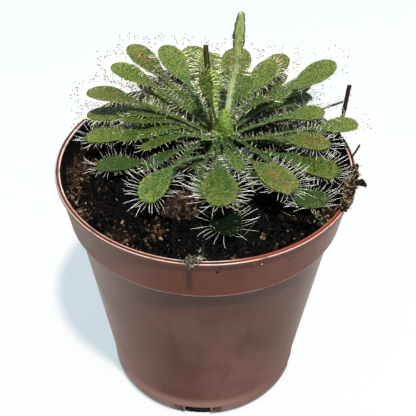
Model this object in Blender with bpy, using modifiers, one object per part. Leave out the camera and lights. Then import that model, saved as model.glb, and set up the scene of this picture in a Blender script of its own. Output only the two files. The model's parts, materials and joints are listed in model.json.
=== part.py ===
"""Potted sundew: a spoon-leaved sundew rosette in a round 9 cm nursery pot filled with peat.

Sizes are in millimetres and angles in degrees; millimetres() turns them to metres.
The frame's origin is on the pot's axis at the foot it stands on, with +Z up and the front at -Y.
"""
import math
from collections import namedtuple

import bmesh
import bpy
from mathutils import Matrix, Vector

MM = 0.001
GAP = 0.3                    # clearance that touching pieces keep

# ---- pot -----------------------------------------------------------------------------
POT_HEIGHT = 84.0
POT_SEGMENTS = 80
RIM_RADIUS = 45.0
LIP_WIDTH = 1.5
LIP_HEIGHT = 1.0
GROOVE_DEPTH = 0.35
COLLAR_TOP_RADIUS = 44.4
COLLAR_BOTTOM_RADIUS = 42.0
COLLAR_HEIGHT = 15.0
BODY_TOP_RADIUS = 40.3
FOOT_RADIUS = 30.5
FOOT_BAND_HEIGHT = 5.6
FOOT_BAND_RADIUS = 31.8
FOOT_BAND_STEP = 0.3
FOOT_WIDTH = 1.6
WALL = 0.9
BASE_UNDERSIDE = 1.4
BASE_TOP = 2.6
DRAIN_SLOTS = 4
DRAIN_SLOT_TURN = -3.0       # the front slot sits a little to the left
DRAIN_SLOT_SIZE = (8.6, 6.5, 4.9)
DRAIN_SLOT_RADIUS = 29.5
DRAIN_RECESS_SIZE = (5.4, 2.0, 3.8)
DRAIN_RECESS_OFFSET = 7.6    # sideways, from the slot's middle
DRAIN_RECESS_BOTTOM = 1.1
DRAIN_RECESS_DEPTH = 0.35

# ---- soil ----------------------------------------------------------------------------
SOIL_LEVEL = 77.0
SOIL_SEGMENTS = 40
SOIL_CLEARANCE = 0.4         # to the pot's wall
SOIL_RINGS = (0.9, 0.78, 0.64, 0.5, 0.36, 0.22)   # from the wall's side in to the root well
Mound = namedtuple("Mound", "x y height spread")
SOIL_MOUNDS = (              # hills and hollows (negative) in the peat surface
    Mound(4.4, 5.5, 1.2, 11.0),
    Mound(-6.0, -15.0, 1.4, 8.0),
    Mound(-25.0, -17.0, -4.2, 8.0),
    Mound(17.0, -31.0, -3.4, 8.0),
    Mound(40.0, -17.0, 6.4, 11.0),
    Mound(44.0, 6.0, 3.5, 10.0),
    Mound(-36.0, -2.0, 1.8, 8.0),
    Mound(10.0, 38.0, 2.0, 14.0),
)
ROOT_WELL_RADIUS = 4.2
ROOT_WELL_TIP_RADIUS = 2.4
ROOT_WELL_BOTTOM = 63.5

# ---- crown and scapes ----------------------------------------------------------------
CROWN_X = 4.4
CROWN_Y = 5.5
CROWN_TOP = 92.0
CROWN_RADIUS = 3.1           # of the short stem that carries the leaves
CROWN_BASE_RADIUS = 3.5
ROOTSTOCK_RADIUS = 1.9
ROOTSTOCK_BOTTOM = 64.2
LEAF_TIERS = (79.7, 81.8, 83.9, 85.9, 87.8, 89.5, 91.0)   # heights where petioles leave the stem

# ---- leaves --------------------------------------------------------------------------
PETIOLE_WIDTH = 1.8
PETIOLE_BASE_WIDTH = 1.2
PETIOLE_THICKNESS = 0.8
BLADE_THICKNESS = 1.1
LEAF_SIDES = 8
PETIOLE_STATIONS = (0.0, 0.25, 0.5, 0.75)                  # along the petiole
BLADE_STATIONS = (0.0, 0.2, 0.4, 0.58, 0.74, 0.87, 0.96, 0.995)   # along the blade

# azimuth and reach run from the crown's axis, tip is the tip's height, tier counts from the
# lowest; arch lifts the middle of the midrib, sweep bends it sideways, roll tips the blade.
Leaf = namedtuple("Leaf", "azimuth reach tip tier width blade arch sweep roll", defaults=(0, 0, 0))
LEAVES = (
    # front, from left to right
    Leaf(191.0, 38.0, 82.5, 0, 7.6, 17.0, 1.0),
    Leaf(181.0, 41.0, 88.0, 2, 8.0, 19.0, 2.5, -1.5),
    Leaf(212.0, 20.0, 82.0, 0, 4.6, 10.0, 1.0),
    Leaf(235.0, 36.0, 87.0, 2, 8.4, 18.0, 3.0, -3.0),
    Leaf(226.0, 13.0, 84.0, 1, 4.4, 7.0, 1.0),
    Leaf(269.0, 33.5, 89.5, 3, 10.2, 21.0, 2.0),
    Leaf(272.5, 36.5, 81.5, 0, 9.4, 16.0, 1.5),
    Leaf(289.0, 16.5, 88.0, 4, 4.4, 10.5, 1.0),
    Leaf(309.0, 33.0, 88.5, 3, 9.6, 20.0, 2.5, -1.0),
    Leaf(319.0, 39.0, 84.0, 0, 8.6, 15.0, 0.0),
    Leaf(333.5, 37.5, 87.5, 2, 10.0, 22.0, 2.5, 1.0),
    Leaf(346.0, 33.0, 92.0, 4, 8.6, 17.0, 2.0),
    Leaf(246.0, 13.0, 80.8, 0, 4.6, 8.0, 0.5),
    # right side
    Leaf(0.0, 41.0, 94.0, 3, 8.0, 15.0, 1.5),
    Leaf(8.0, 31.5, 95.5, 5, 7.6, 14.0, 1.5),
    Leaf(6.0, 41.0, 90.0, 1, 6.0, 16.0, 2.0, 0.0, -40.0),
    Leaf(21.0, 41.0, 92.5, 2, 6.0, 16.0, 1.0, 0.0, -40.0),
    Leaf(19.5, 36.0, 108.0, 6, 9.6, 17.0, 1.0),
    Leaf(34.0, 24.0, 91.0, 3, 7.0, 14.0, 1.5),
    Leaf(28.0, 32.0, 86.0, 0, 7.6, 15.0, 2.0),
    Leaf(36.0, 34.0, 96.5, 5, 8.0, 15.0, 1.0),
    # left side
    Leaf(169.0, 42.0, 91.0, 3, 7.6, 17.0, 3.0),
    Leaf(166.0, 42.0, 98.0, 5, 8.4, 18.0, 3.5, 1.5),
    Leaf(155.0, 37.0, 104.0, 6, 8.0, 17.0, 2.0),
    Leaf(146.0, 31.0, 99.0, 3, 8.0, 15.0, 1.5),
    Leaf(158.0, 33.0, 84.0, 0, 7.4, 15.0, 1.5),
    Leaf(160.0, 27.0, 88.0, 1, 6.6, 13.0, 1.0),
    # back, rising
    Leaf(141.0, 37.0, 106.5, 5, 8.4, 17.0, 1.5),
    Leaf(129.0, 29.0, 107.0, 6, 8.6, 16.0, 1.0),
    Leaf(128.0, 24.0, 97.0, 4, 6.8, 13.0, 1.5),
    Leaf(108.0, 32.0, 102.5, 3, 10.0, 17.0, 2.0),
    Leaf(98.0, 26.0, 103.0, 4, 8.6, 15.0, 1.5),
    Leaf(78.0, 27.0, 104.5, 5, 9.6, 16.0, 1.5),
    Leaf(64.0, 24.5, 95.0, 3, 7.6, 14.0, 1.0),
    Leaf(53.0, 33.5, 102.0, 4, 8.4, 17.0, 2.0),
    Leaf(48.0, 24.0, 105.0, 6, 8.0, 14.0, 1.0),
    # back, low
    Leaf(125.0, 37.0, 86.0, 0, 8.0, 16.0, 2.0),
    Leaf(147.0, 36.0, 91.0, 2, 7.6, 16.0, 2.0),
    Leaf(97.0, 34.5, 86.0, 1, 8.4, 16.0, 2.5),
    Leaf(66.0, 35.5, 86.0, 0, 8.4, 16.0, 2.5),
    Leaf(42.0, 37.0, 87.0, 1, 8.0, 16.0, 2.5),
    Leaf(118.0, 33.0, 93.0, 2, 8.0, 15.0, 2.0),
    Leaf(83.0, 33.0, 94.0, 2, 8.0, 15.0, 2.0),
    # young leaves at the crown
    Leaf(106.0, 12.5, 105.0, 6, 5.6, 8.0, -1.0),
    Leaf(231.0, 8.5, 92.5, 6, 3.4, 4.5, 0.5),
    Leaf(316.0, 6.5, 91.5, 6, 3.4, 4.2, 0.5),
)

SCAPE_RADIUS = 0.9
YOUNG_SCAPE = ((5.5, 5.6, 92.3), (6.3, 5.4, 99.8), (7.2, 5.4, 107.2), (7.9, 5.3, 112.2), (8.3, 5.3, 115.5),
               (8.6, 5.2, 118.5), (8.8, 5.1, 123.0), (9.0, 5.1, 127.5), (9.1, 5.1, 129.6))
YOUNG_SCAPE_SWELL = (1.0, 0.95, 0.95, 0.95, 1.0, 1.55, 1.75, 1.6, 0.9)
DEAD_SCAPE = ((2.3, 5.2, 92.3), (1.5, 5.1, 98.0), (0.7, 5.0, 106.0), (0.1, 5.0, 113.0), (-0.4, 5.0, 120.0))
DEAD_SCAPE_RADIUS = 0.85
DRY_STUB = ((37.6, 12.3, 79.8), (39.4, 12.4, 87.0), (41.2, 12.6, 96.0), (42.4, 12.7, 103.0))
DRY_STUB_RADIUS = 0.75
RIM_TWIG = ((44.1, 2.0, 84.8), (45.2, 2.4, 86.6), (46.1, 3.0, 88.4))
RIM_TWIG_RADIUS = 0.35

# ---- lumps of peat and moss ------------------------------------------------------------
Lump = namedtuple("Lump", "name x y turn length width height on_rim colour")
LUMPS = (
    Lump("peat_lump", -6.5, -16.5, 25.0, 13.5, 9.5, 3.2, False, (0.075, 0.045, 0.028)),
    Lump("rim_clump_right", 42.0, -12.6, 73.3, 23.0, 4.6, 3.0, True, (0.17, 0.12, 0.07)),
    Lump("rim_crumb_front", -3.2, -43.9, 12.0, 4.4, 3.4, 1.6, True, (0.15, 0.15, 0.10)),
)
LUMP_SEGMENTS = 16


def millimetres(*values):
    """Point in metres from sizes in millimetres."""
    return Vector(values) * MM


def soil_height(x, y):
    """Height of the peat surface at a place."""
    height = SOIL_LEVEL
    for mound in SOIL_MOUNDS:
        distance = math.hypot(x - mound.x, y - mound.y)
        height += mound.height * math.exp(-((distance / mound.spread) ** 2))
    ripple = 0.35 * math.sin(0.42 * x + 1.0) * math.cos(0.37 * y) + 0.2 * math.sin(0.9 * x - 0.6 * y)
    return min(height + ripple, POT_HEIGHT - 0.4)


def inner_radius(height):
    """Radius of the pot's inside at a height."""
    collar_bottom = POT_HEIGHT - COLLAR_HEIGHT
    if height >= collar_bottom:
        share = (height - collar_bottom) / COLLAR_HEIGHT
        return COLLAR_BOTTOM_RADIUS - WALL + share * (COLLAR_TOP_RADIUS - COLLAR_BOTTOM_RADIUS)
    share = (height - BASE_TOP) / (collar_bottom - BASE_TOP)
    bottom = FOOT_RADIUS - WALL
    return bottom + share * (BODY_TOP_RADIUS - WALL - bottom)


def new_material(name, colour, roughness):
    """Principled material of one colour, for one piece."""
    material = bpy.data.materials.new(name)
    material.use_nodes = True
    shader = material.node_tree.nodes["Principled BSDF"]
    shader.inputs["Base Color"].default_value = (*colour, 1.0)
    shader.inputs["Roughness"].default_value = roughness
    shader.inputs["Metallic"].default_value = 0.0
    return material


def add_object(name, mesh, collection, colour, roughness):
    """Object of a mesh, in a collection, with its own material."""
    piece = bpy.data.objects.new(name, mesh)
    collection.objects.link(piece)
    mesh.materials.append(new_material(name, colour, roughness))
    return piece


def loft(name, rings):
    """Closed mesh through rings of as many points each, with a flat cap at either end."""
    work = bmesh.new()
    rows = [[work.verts.new(point) for point in ring] for ring in rings]
    count = len(rows[0])
    for lower, upper in zip(rows, rows[1:]):
        for i in range(count):
            j = (i + 1) % count
            work.faces.new((lower[i], lower[j], upper[j], upper[i]))
    work.faces.new(tuple(reversed(rows[0])))
    work.faces.new(tuple(rows[-1]))
    bmesh.ops.triangulate(work, faces=[face for face in work.faces if len(face.verts) == 4])
    bmesh.ops.recalc_face_normals(work, faces=work.faces[:])
    mesh = bpy.data.meshes.new(name)
    work.to_mesh(mesh)
    work.free()
    mesh.shade_smooth()
    mesh.set_sharp_from_angle(angle=math.radians(50))
    return mesh


def turned(name, profile, segments, collection, colour, roughness):
    """Turned piece: a profile of (radius, height) points spun about Z."""
    mesh = bpy.data.meshes.new(name)
    mesh.from_pydata([millimetres(r, 0.0, z) for r, z in profile], [(i, i + 1) for i in range(len(profile) - 1)], [])
    piece = add_object(name, mesh, collection, colour, roughness)
    screw = piece.modifiers.new("turn", "SCREW")
    screw.steps = segments
    screw.render_steps = segments
    screw.use_merge_vertices = True
    screw.merge_threshold = 0.00001
    screw.use_smooth_shade = True
    return piece


def rod(name, points, radius, swell, collection, colour, roughness):
    """Round rod along a hand-chosen route, closed at both ends."""
    curve = bpy.data.curves.new(name, "CURVE")
    curve.dimensions = "3D"
    curve.bevel_depth = radius * MM
    curve.bevel_resolution = 2
    curve.use_fill_caps = True
    spline = curve.splines.new("POLY")
    spline.points.add(len(points) - 1)
    for point, place, factor in zip(spline.points, points, swell):
        point.co = (*millimetres(*place), 1.0)
        point.radius = factor
    piece = bpy.data.objects.new(name, curve)
    collection.objects.link(piece)
    curve.materials.append(new_material(name, colour, roughness))
    return piece


def box_cutter(name, size, place, turn, cutters):
    """Box that cuts; place is its middle, before it turns about the pot's axis."""
    bpy.ops.mesh.primitive_cube_add(size=1.0)
    cutter = bpy.context.object
    cutter.name = name
    shape = Matrix.Translation(millimetres(*place)) @ Matrix.Diagonal((*millimetres(*size), 1.0))
    cutter.data.transform(Matrix.Rotation(math.radians(turn), 4, "Z") @ shape)
    for collection in list(cutter.users_collection):
        collection.objects.unlink(cutter)
    cutters.objects.link(cutter)
    cutter.hide_render = True
    cutter.display_type = "WIRE"
    return cutter


def cut(piece, cutter):
    """Boolean that takes a cutter's space out of a piece."""
    boolean = piece.modifiers.new(cutter.name, "BOOLEAN")
    boolean.operation = "DIFFERENCE"
    boolean.solver = "EXACT"
    boolean.object = cutter


def build_pot(parts, cutters):
    """Injection-moulded pot: collar, tapering body, foot ring, base plate and drain slots."""
    collar_bottom = POT_HEIGHT - COLLAR_HEIGHT
    lip_inside = RIM_RADIUS - LIP_WIDTH
    profile = [
        (0.0, BASE_TOP),
        (FOOT_RADIUS - WALL, BASE_TOP),
        (BODY_TOP_RADIUS - WALL, collar_bottom - 1.0),
        (COLLAR_BOTTOM_RADIUS - WALL, collar_bottom + 0.6),
        (lip_inside, POT_HEIGHT - 0.5),
        (lip_inside + 0.25, POT_HEIGHT),
        (lip_inside + 0.55, POT_HEIGHT),
        (lip_inside + 0.75, POT_HEIGHT - GROOVE_DEPTH),
        (lip_inside + 0.95, POT_HEIGHT - 0.05),
        (RIM_RADIUS - 0.2, POT_HEIGHT - 0.1),
        (RIM_RADIUS, POT_HEIGHT - 0.4),
        (RIM_RADIUS, POT_HEIGHT - LIP_HEIGHT + 0.4),
        (COLLAR_TOP_RADIUS, POT_HEIGHT - LIP_HEIGHT),
        (COLLAR_BOTTOM_RADIUS, collar_bottom + 0.3),
        (COLLAR_BOTTOM_RADIUS - 0.3, collar_bottom),
        (BODY_TOP_RADIUS, collar_bottom),
        (FOOT_BAND_RADIUS - FOOT_BAND_STEP, FOOT_BAND_HEIGHT + 0.3),
        (FOOT_BAND_RADIUS, FOOT_BAND_HEIGHT),
        (FOOT_RADIUS, 0.0),
        (FOOT_RADIUS - FOOT_WIDTH, 0.0),
        (FOOT_RADIUS - FOOT_WIDTH, BASE_UNDERSIDE),
        (0.0, BASE_UNDERSIDE),
    ]
    pot = turned("pot", profile, POT_SEGMENTS, parts, (0.155, 0.068, 0.053), 0.45)
    slot_width, slot_depth, slot_height = DRAIN_SLOT_SIZE
    recess_height = DRAIN_RECESS_BOTTOM + DRAIN_RECESS_SIZE[2] / 2
    recess_radius = FOOT_BAND_RADIUS - DRAIN_RECESS_DEPTH + DRAIN_RECESS_SIZE[1] / 2 - 0.9
    for i in range(DRAIN_SLOTS):
        turn = DRAIN_SLOT_TURN + i * 360.0 / DRAIN_SLOTS
        slot = (slot_width, slot_depth, slot_height + 1.0)
        place = (0.0, -DRAIN_SLOT_RADIUS, (slot_height - 1.0) / 2)
        cut(pot, box_cutter(f"drain_slot_{i + 1}", slot, place, turn, cutters))
        for side in (-1, 1):
            place = (side * DRAIN_RECESS_OFFSET, -recess_radius, recess_height)
            name = f"drain_recess_{i + 1}_{'left' if side < 0 else 'right'}"
            cut(pot, box_cutter(name, DRAIN_RECESS_SIZE, place, turn, cutters))


def soil_ring(radius, centre_x, centre_y, height=None):
    """Ring of the soil; with no height its points lie on the peat surface."""
    ring = []
    for i in range(SOIL_SEGMENTS):
        angle = 2 * math.pi * i / SOIL_SEGMENTS
        x = centre_x + radius * math.cos(angle)
        y = centre_y + radius * math.sin(angle)
        ring.append(millimetres(x, y, soil_height(x, y) if height is None else height))
    return ring


def soil_edge():
    """Ring where the peat surface meets the pot's wall, as high as the peat is there."""
    ring = []
    for i in range(SOIL_SEGMENTS):
        angle = 2 * math.pi * i / SOIL_SEGMENTS
        radius = inner_radius(SOIL_LEVEL)
        height = soil_height(radius * math.cos(angle), radius * math.sin(angle))
        radius = inner_radius(height) - SOIL_CLEARANCE
        ring.append(millimetres(radius * math.cos(angle), radius * math.sin(angle), height))
    return ring


def build_soil(parts):
    """Peat that fills the pot, with hills, hollows and the well that holds the rootstock."""
    step = POT_HEIGHT - COLLAR_HEIGHT - 1.4
    rings = []
    for height in (BASE_TOP + GAP, step, step + 3.0):
        narrow = inner_radius(min(height, step))
        rings.append(soil_ring(narrow - SOIL_CLEARANCE, 0.0, 0.0, height))
    rings.append(soil_edge())
    outer = inner_radius(SOIL_LEVEL - 4.0) - SOIL_CLEARANCE
    for share in SOIL_RINGS:
        radius = ROOT_WELL_RADIUS + share * (outer - ROOT_WELL_RADIUS)
        drift = 1.0 - share
        rings.append(soil_ring(radius, CROWN_X * drift, CROWN_Y * drift))
    rings.append(soil_ring(ROOT_WELL_RADIUS, CROWN_X, CROWN_Y))
    rings.append(soil_ring(ROOT_WELL_TIP_RADIUS, CROWN_X, CROWN_Y, ROOT_WELL_BOTTOM))
    return add_object("soil", loft("soil", rings), parts, (0.018, 0.012, 0.009), 0.95)


def build_crown(parts):
    """Short stem that carries the leaves, with the rootstock below it in the soil."""
    surface = soil_height(CROWN_X, CROWN_Y)
    profile = [
        (0.0, CROWN_TOP),
        (CROWN_RADIUS - 0.4, CROWN_TOP),
        (CROWN_RADIUS, CROWN_TOP - 0.5),
        (CROWN_BASE_RADIUS, surface + 1.0),
        (CROWN_BASE_RADIUS, surface - 1.0),
        (ROOTSTOCK_RADIUS, ROOTSTOCK_BOTTOM + 1.0),
        (ROOTSTOCK_RADIUS - 0.6, ROOTSTOCK_BOTTOM),
        (0.0, ROOTSTOCK_BOTTOM),
    ]
    crown = turned("crown", profile, 16, parts, (0.16, 0.27, 0.05), 0.5)
    crown.location = millimetres(CROWN_X, CROWN_Y, 0.0)
    return crown


def stem_radius(height):
    """Radius of the short stem at a height."""
    share = (height - LEAF_TIERS[0]) / (CROWN_TOP - LEAF_TIERS[0])
    return CROWN_BASE_RADIUS + share * (CROWN_RADIUS - CROWN_BASE_RADIUS)


def midrib(leaf, t):
    """Point of a leaf's midrib at a share t of the way from the stem to the tip."""
    start_height = LEAF_TIERS[leaf.tier]
    start = stem_radius(start_height) + GAP + 0.35
    out = start + t * (leaf.reach - start)
    bow = 4.0 * t * (1.0 - t)
    azimuth = math.radians(leaf.azimuth)
    along = Vector((math.cos(azimuth), math.sin(azimuth), 0.0))
    aside = Vector((-along.y, along.x, 0.0))
    height = start_height + t * (leaf.tip - start_height) + bow * leaf.arch
    return Vector((CROWN_X, CROWN_Y, height)) + along * out + aside * (bow * leaf.sweep)


def spoon(s):
    """Share of the blade's full width at a share s of its length, wide past the middle."""
    return math.sin(math.pi * min(s, 1.0) ** 1.45) ** 0.62


def leaf_ring(leaf, t, width, thickness):
    """Ring of a leaf: an ellipse square to the midrib, tipped by the leaf's roll."""
    place = midrib(leaf, t)
    ahead = (midrib(leaf, t + 0.01) - midrib(leaf, t - 0.01)).normalized()
    side = ahead.cross(Vector((0.0, 0.0, 1.0))).normalized()
    side.rotate(Matrix.Rotation(math.radians(leaf.roll), 3, ahead))
    up = side.cross(ahead)
    ring = []
    for i in range(LEAF_SIDES):
        angle = 2 * math.pi * i / LEAF_SIDES
        ring.append((place + side * (width / 2 * math.cos(angle)) + up * (thickness / 2 * math.sin(angle))) * MM)
    return ring


def build_leaf(number, leaf, parts):
    """One leaf: a narrow petiole that widens to a spoon-shaped blade."""
    blade_start = 1.0 - leaf.blade / leaf.reach
    rings = []
    for share in PETIOLE_STATIONS:
        width = PETIOLE_BASE_WIDTH + (PETIOLE_WIDTH - PETIOLE_BASE_WIDTH) * min(1.0, 2 * share)
        rings.append(leaf_ring(leaf, share * blade_start, width, PETIOLE_THICKNESS))
    for share in BLADE_STATIONS:
        width = PETIOLE_WIDTH * (1.0 - share) + (leaf.width - PETIOLE_WIDTH * (1.0 - share)) * spoon(share)
        thickness = PETIOLE_THICKNESS + (BLADE_THICKNESS - PETIOLE_THICKNESS) * spoon(share)
        t = blade_start + share * (1.0 - blade_start)
        rings.append(leaf_ring(leaf, t, width, thickness))
    green = (0.13, 0.24, 0.045) if leaf.tier > 1 else (0.05, 0.12, 0.03)
    name = f"leaf_{number:02d}"
    return add_object(name, loft(name, rings), parts, green, 0.45)


def build_lump(lump, parts):
    """Domed lump that lies on the peat, or flat on the pot's rim."""
    turn = math.radians(lump.turn)
    rings = []
    floor = (0.0, 0.55, 0.95)
    dome = ((1.0, 0.25), (0.86, 0.62), (0.6, 0.9), (0.25, 1.0))
    levels = [(share, 0.0) for share in floor[1:]] + list(dome)
    for share, rise in levels:
        ring = []
        for i in range(LUMP_SEGMENTS):
            angle = 2 * math.pi * i / LUMP_SEGMENTS
            rough = 1.0 + 0.12 * math.sin(3 * angle + lump.x) + 0.06 * math.sin(5 * angle + lump.y)
            u = share * rough * lump.length / 2 * math.cos(angle)
            v = share * rough * lump.width / 2 * math.sin(angle)
            x = lump.x + u * math.cos(turn) - v * math.sin(turn)
            y = lump.y + u * math.sin(turn) + v * math.cos(turn)
            ground = POT_HEIGHT + GAP if lump.on_rim else soil_height(x, y) + 2 * GAP
            ring.append(millimetres(x, y, ground + rise * lump.height))
        rings.append(ring)
    return add_object(lump.name, loft(lump.name, rings), parts, lump.colour, 0.9)


def main():
    """Clear the scene and build every piece."""
    for item in list(bpy.data.objects):
        bpy.data.objects.remove(item, do_unlink=True)
    parts = bpy.data.collections.new("potted_sundew")
    cutters = bpy.data.collections.new("cutters")
    for collection in (parts, cutters):
        bpy.context.scene.collection.children.link(collection)

    build_pot(parts, cutters)
    build_soil(parts)
    build_crown(parts)
    for number, leaf in enumerate(LEAVES, start=1):
        build_leaf(number, leaf, parts)
    plain = (1.0,) * len(YOUNG_SCAPE)
    rod("young_scape", YOUNG_SCAPE, SCAPE_RADIUS, YOUNG_SCAPE_SWELL, parts, (0.30, 0.46, 0.12), 0.5)
    rod("dead_scape_stub", DEAD_SCAPE, DEAD_SCAPE_RADIUS, plain, parts, (0.09, 0.07, 0.03), 0.7)
    rod("dry_stub_right", DRY_STUB, DRY_STUB_RADIUS, plain, parts, (0.10, 0.05, 0.03), 0.75)
    rod("rim_twig", RIM_TWIG, RIM_TWIG_RADIUS, plain, parts, (0.06, 0.03, 0.02), 0.8)
    for lump in LUMPS:
        build_lump(lump, parts)


main()
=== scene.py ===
"""Potted sundew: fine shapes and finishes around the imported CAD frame.

Everything is modelled in millimetres, in the frame's own axes; add_piece() turns it to metres.
"""
from __future__ import annotations

import json
import logging
import math
import random
from collections.abc import Callable
from dataclasses import dataclass, field
from enum import Enum
from functools import partial

import bmesh  # noqa: E402
import bpy  # noqa: E402
import numpy as np  # noqa: E402
from mathutils import Matrix, Vector, noise  # noqa: E402
from mathutils.bvhtree import BVHTree  # noqa: E402

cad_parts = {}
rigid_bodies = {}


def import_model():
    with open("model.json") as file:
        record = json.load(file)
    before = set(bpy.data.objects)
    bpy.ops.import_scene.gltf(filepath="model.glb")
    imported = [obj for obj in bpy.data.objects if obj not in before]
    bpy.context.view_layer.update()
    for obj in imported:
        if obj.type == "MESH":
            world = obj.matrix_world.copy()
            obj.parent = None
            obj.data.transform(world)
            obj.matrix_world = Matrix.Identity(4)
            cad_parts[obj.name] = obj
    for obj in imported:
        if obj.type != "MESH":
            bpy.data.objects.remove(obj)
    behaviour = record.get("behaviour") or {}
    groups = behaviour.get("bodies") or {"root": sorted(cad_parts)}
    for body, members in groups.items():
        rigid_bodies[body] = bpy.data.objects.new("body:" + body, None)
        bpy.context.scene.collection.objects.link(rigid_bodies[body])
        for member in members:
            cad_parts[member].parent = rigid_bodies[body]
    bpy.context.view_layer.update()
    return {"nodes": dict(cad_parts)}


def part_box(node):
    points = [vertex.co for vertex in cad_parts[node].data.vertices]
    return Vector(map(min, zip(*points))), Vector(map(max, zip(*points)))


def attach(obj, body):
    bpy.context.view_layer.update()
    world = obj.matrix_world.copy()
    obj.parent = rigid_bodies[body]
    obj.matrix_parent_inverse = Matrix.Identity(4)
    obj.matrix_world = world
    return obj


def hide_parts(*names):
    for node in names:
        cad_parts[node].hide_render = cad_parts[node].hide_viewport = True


MM = 0.001                     # a millimetre, in the frame's metres
WELD = 0.001                   # corners this near are one, in mm
BODY = "root"
UP = np.array((0.0, 0.0, 1.0))
SMOOTH = {"interpolation_type": "SMOOTHSTEP"}     # for a range that starts and ends softly
Adder = Callable[..., bpy.types.NodeSocket]       # adds a node to one tree, and gives its output
Value = float | str | tuple | bpy.types.NodeSocket        # what a node's input takes

log = logging.getLogger("potted_sundew")


# ---- small tools -----------------------------------------------------------------------

def linear(hex_colour: str) -> tuple[float, float, float, float]:
    """Turn an sRGB hex colour to the linear values that shaders use.

    Args:
        hex_colour: A hash sign and six hex digits.

    Returns:
        Linear red, green and blue, and an alpha of one.
    """
    shares = [int(hex_colour[i:i + 2], 16) / 255 for i in (1, 3, 5)]
    red, green, blue = (s / 12.92 if s <= 0.04045 else ((s + 0.055) / 1.055) ** 2.4 for s in shares)
    return red, green, blue, 1.0


def add_node(tree: bpy.types.NodeTree, kind: str, inputs: tuple | dict = (), output: int | str = 0,
             stops: tuple[tuple[float, str], ...] = (), **settings: object) -> bpy.types.NodeSocket:
    """Add a shader node with its settings, and set or link its inputs.

    Args:
        tree: Node tree that gets the node.
        kind: Blender's name of the node type, after "ShaderNode".
        inputs: Value, hex colour or socket for the first inputs in order, or for inputs by name.
        output: Name or number of the output to give.
        stops: Places and hex colours of a colour ramp.
        settings: The node's own settings.

    Returns:
        The output.
    """
    node = tree.nodes.new(f"ShaderNode{kind}")
    for name, value in settings.items():
        setattr(node, name, value)
    for key, value in inputs.items() if isinstance(inputs, dict) else enumerate(inputs):
        if isinstance(value, bpy.types.NodeSocket):
            tree.links.new(value, node.inputs[key])
        else:
            node.inputs[key].default_value = linear(value) if isinstance(value, str) else value
    for number, (place, colour) in enumerate(stops):
        ramp = node.color_ramp.elements
        stop = ramp[number] if number < 2 else ramp.new(place)
        stop.position = place
        stop.color = linear(colour)
    return node.outputs[output]


def layered(add: Adder, base: Value, *layers: tuple) -> bpy.types.NodeSocket:
    """Lay colours over each other, each only where values pass its gates.

    Args:
        add: Adds a node.
        base: Lowest colour.
        layers: Share, colour and gates of each layer. A gate is a value, its reading where the layer
            isn't seen, and its reading where it is seen in full.

    Returns:
        The mixed colour.
    """
    for share, colour, *gates in layers:
        for value, shut, full in gates:
            share = add("MapRange", (value, shut, full, 0.0, share), **SMOOTH)
        base = add("MixRGB", (share, base, colour))
    return base


def unit(vectors: np.ndarray) -> np.ndarray:
    """Vectors of length one, along the last axis."""
    return vectors / np.maximum(np.linalg.norm(vectors, axis=-1, keepdims=True), 1e-9)


def ramp(values: np.ndarray, start: float, full: float) -> np.ndarray:
    """Rise from 0 where the values are start to 1 where they are full."""
    return np.clip((values - start) / (full - start), 0.0, 1.0)


def walked(points: np.ndarray) -> np.ndarray:
    """Distance walked along points, up to each of them."""
    return np.concatenate(([0.0], np.cumsum(np.linalg.norm(np.diff(points, axis=0), axis=1))))


def hermite(where: np.ndarray, knots: np.ndarray, values: np.ndarray) -> np.ndarray:
    """Read a smooth curve through known values.

    Args:
        where: Places to read, between the first and the last knot.
        knots: Rising places of the known values.
        values: Known values, one row for each knot.

    Returns:
        One row for each place.
    """
    slopes = np.gradient(values, knots, axis=0)
    right = np.clip(np.searchsorted(knots, where), 1, len(knots) - 1)
    left = right - 1
    span = (knots[right] - knots[left]).reshape(-1, *(1,) * (values.ndim - 1))
    t = (where - knots[left]).reshape(span.shape) / span
    return ((1 + 2 * t) * (1 - t) ** 2 * values[left] + t * (1 - t) ** 2 * span * slopes[left]
            + t * t * (3 - 2 * t) * values[right] - t * t * (1 - t) * span * slopes[right])


def rough(points: np.ndarray, grain: float, octaves: int = 1, seed: float = 0.0) -> np.ndarray:
    """Smooth random heights of about -1 to 1 at places, with the largest bumps as wide as the grain, in mm."""
    shift = Vector((seed, 0.37 * seed, -0.71 * seed))
    return np.array([noise.fractal(Vector(point) / grain + shift, 1.0, 2.0, octaves) for point in points])


def points_of(work: bmesh.types.BMesh) -> np.ndarray:
    """Places of a bmesh's corners."""
    return np.array([corner.co[:] for corner in work.verts])


def move_points(work: bmesh.types.BMesh, points: np.ndarray) -> None:
    """Put a bmesh's corners at new places."""
    for corner, point in zip(work.verts, points):
        corner.co = point


def spun(section: list[tuple[float, float]], steps: int) -> bmesh.types.BMesh:
    """Spin a half section about the upright axis.

    Args:
        section: Radius and height of its points.
        steps: Steps round the axis.

    Returns:
        The shape.
    """
    work = bmesh.new()
    corners = [work.verts.new((radius, 0.0, height)) for radius, height in section]
    edges = [work.edges.new(pair) for pair in zip(corners, corners[1:])]
    bmesh.ops.spin(work, geom=corners + edges, cent=(0, 0, 0), axis=(0, 0, 1), angle=2 * math.pi,
                   steps=steps, use_merge=True)
    bmesh.ops.remove_doubles(work, verts=work.verts[:], dist=WELD)
    return work


def rod_blank(sides: int, tip: float, cuts: int) -> bmesh.types.BMesh:
    """Make an upright rod about the origin, of length one and foot radius one.

    Args:
        sides: Sides of its section.
        tip: Radius at its top.
        cuts: Rings between its ends.

    Returns:
        The rod.
    """
    work = bmesh.new()
    bmesh.ops.create_cone(work, cap_ends=True, segments=sides, radius1=1.0, radius2=tip, depth=1.0)
    upright = [edge for edge in work.edges if abs(edge.verts[0].co.z - edge.verts[1].co.z) > 0.5]
    bmesh.ops.subdivide_edges(work, edges=upright, cuts=cuts, use_grid_fill=True)
    return work


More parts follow.
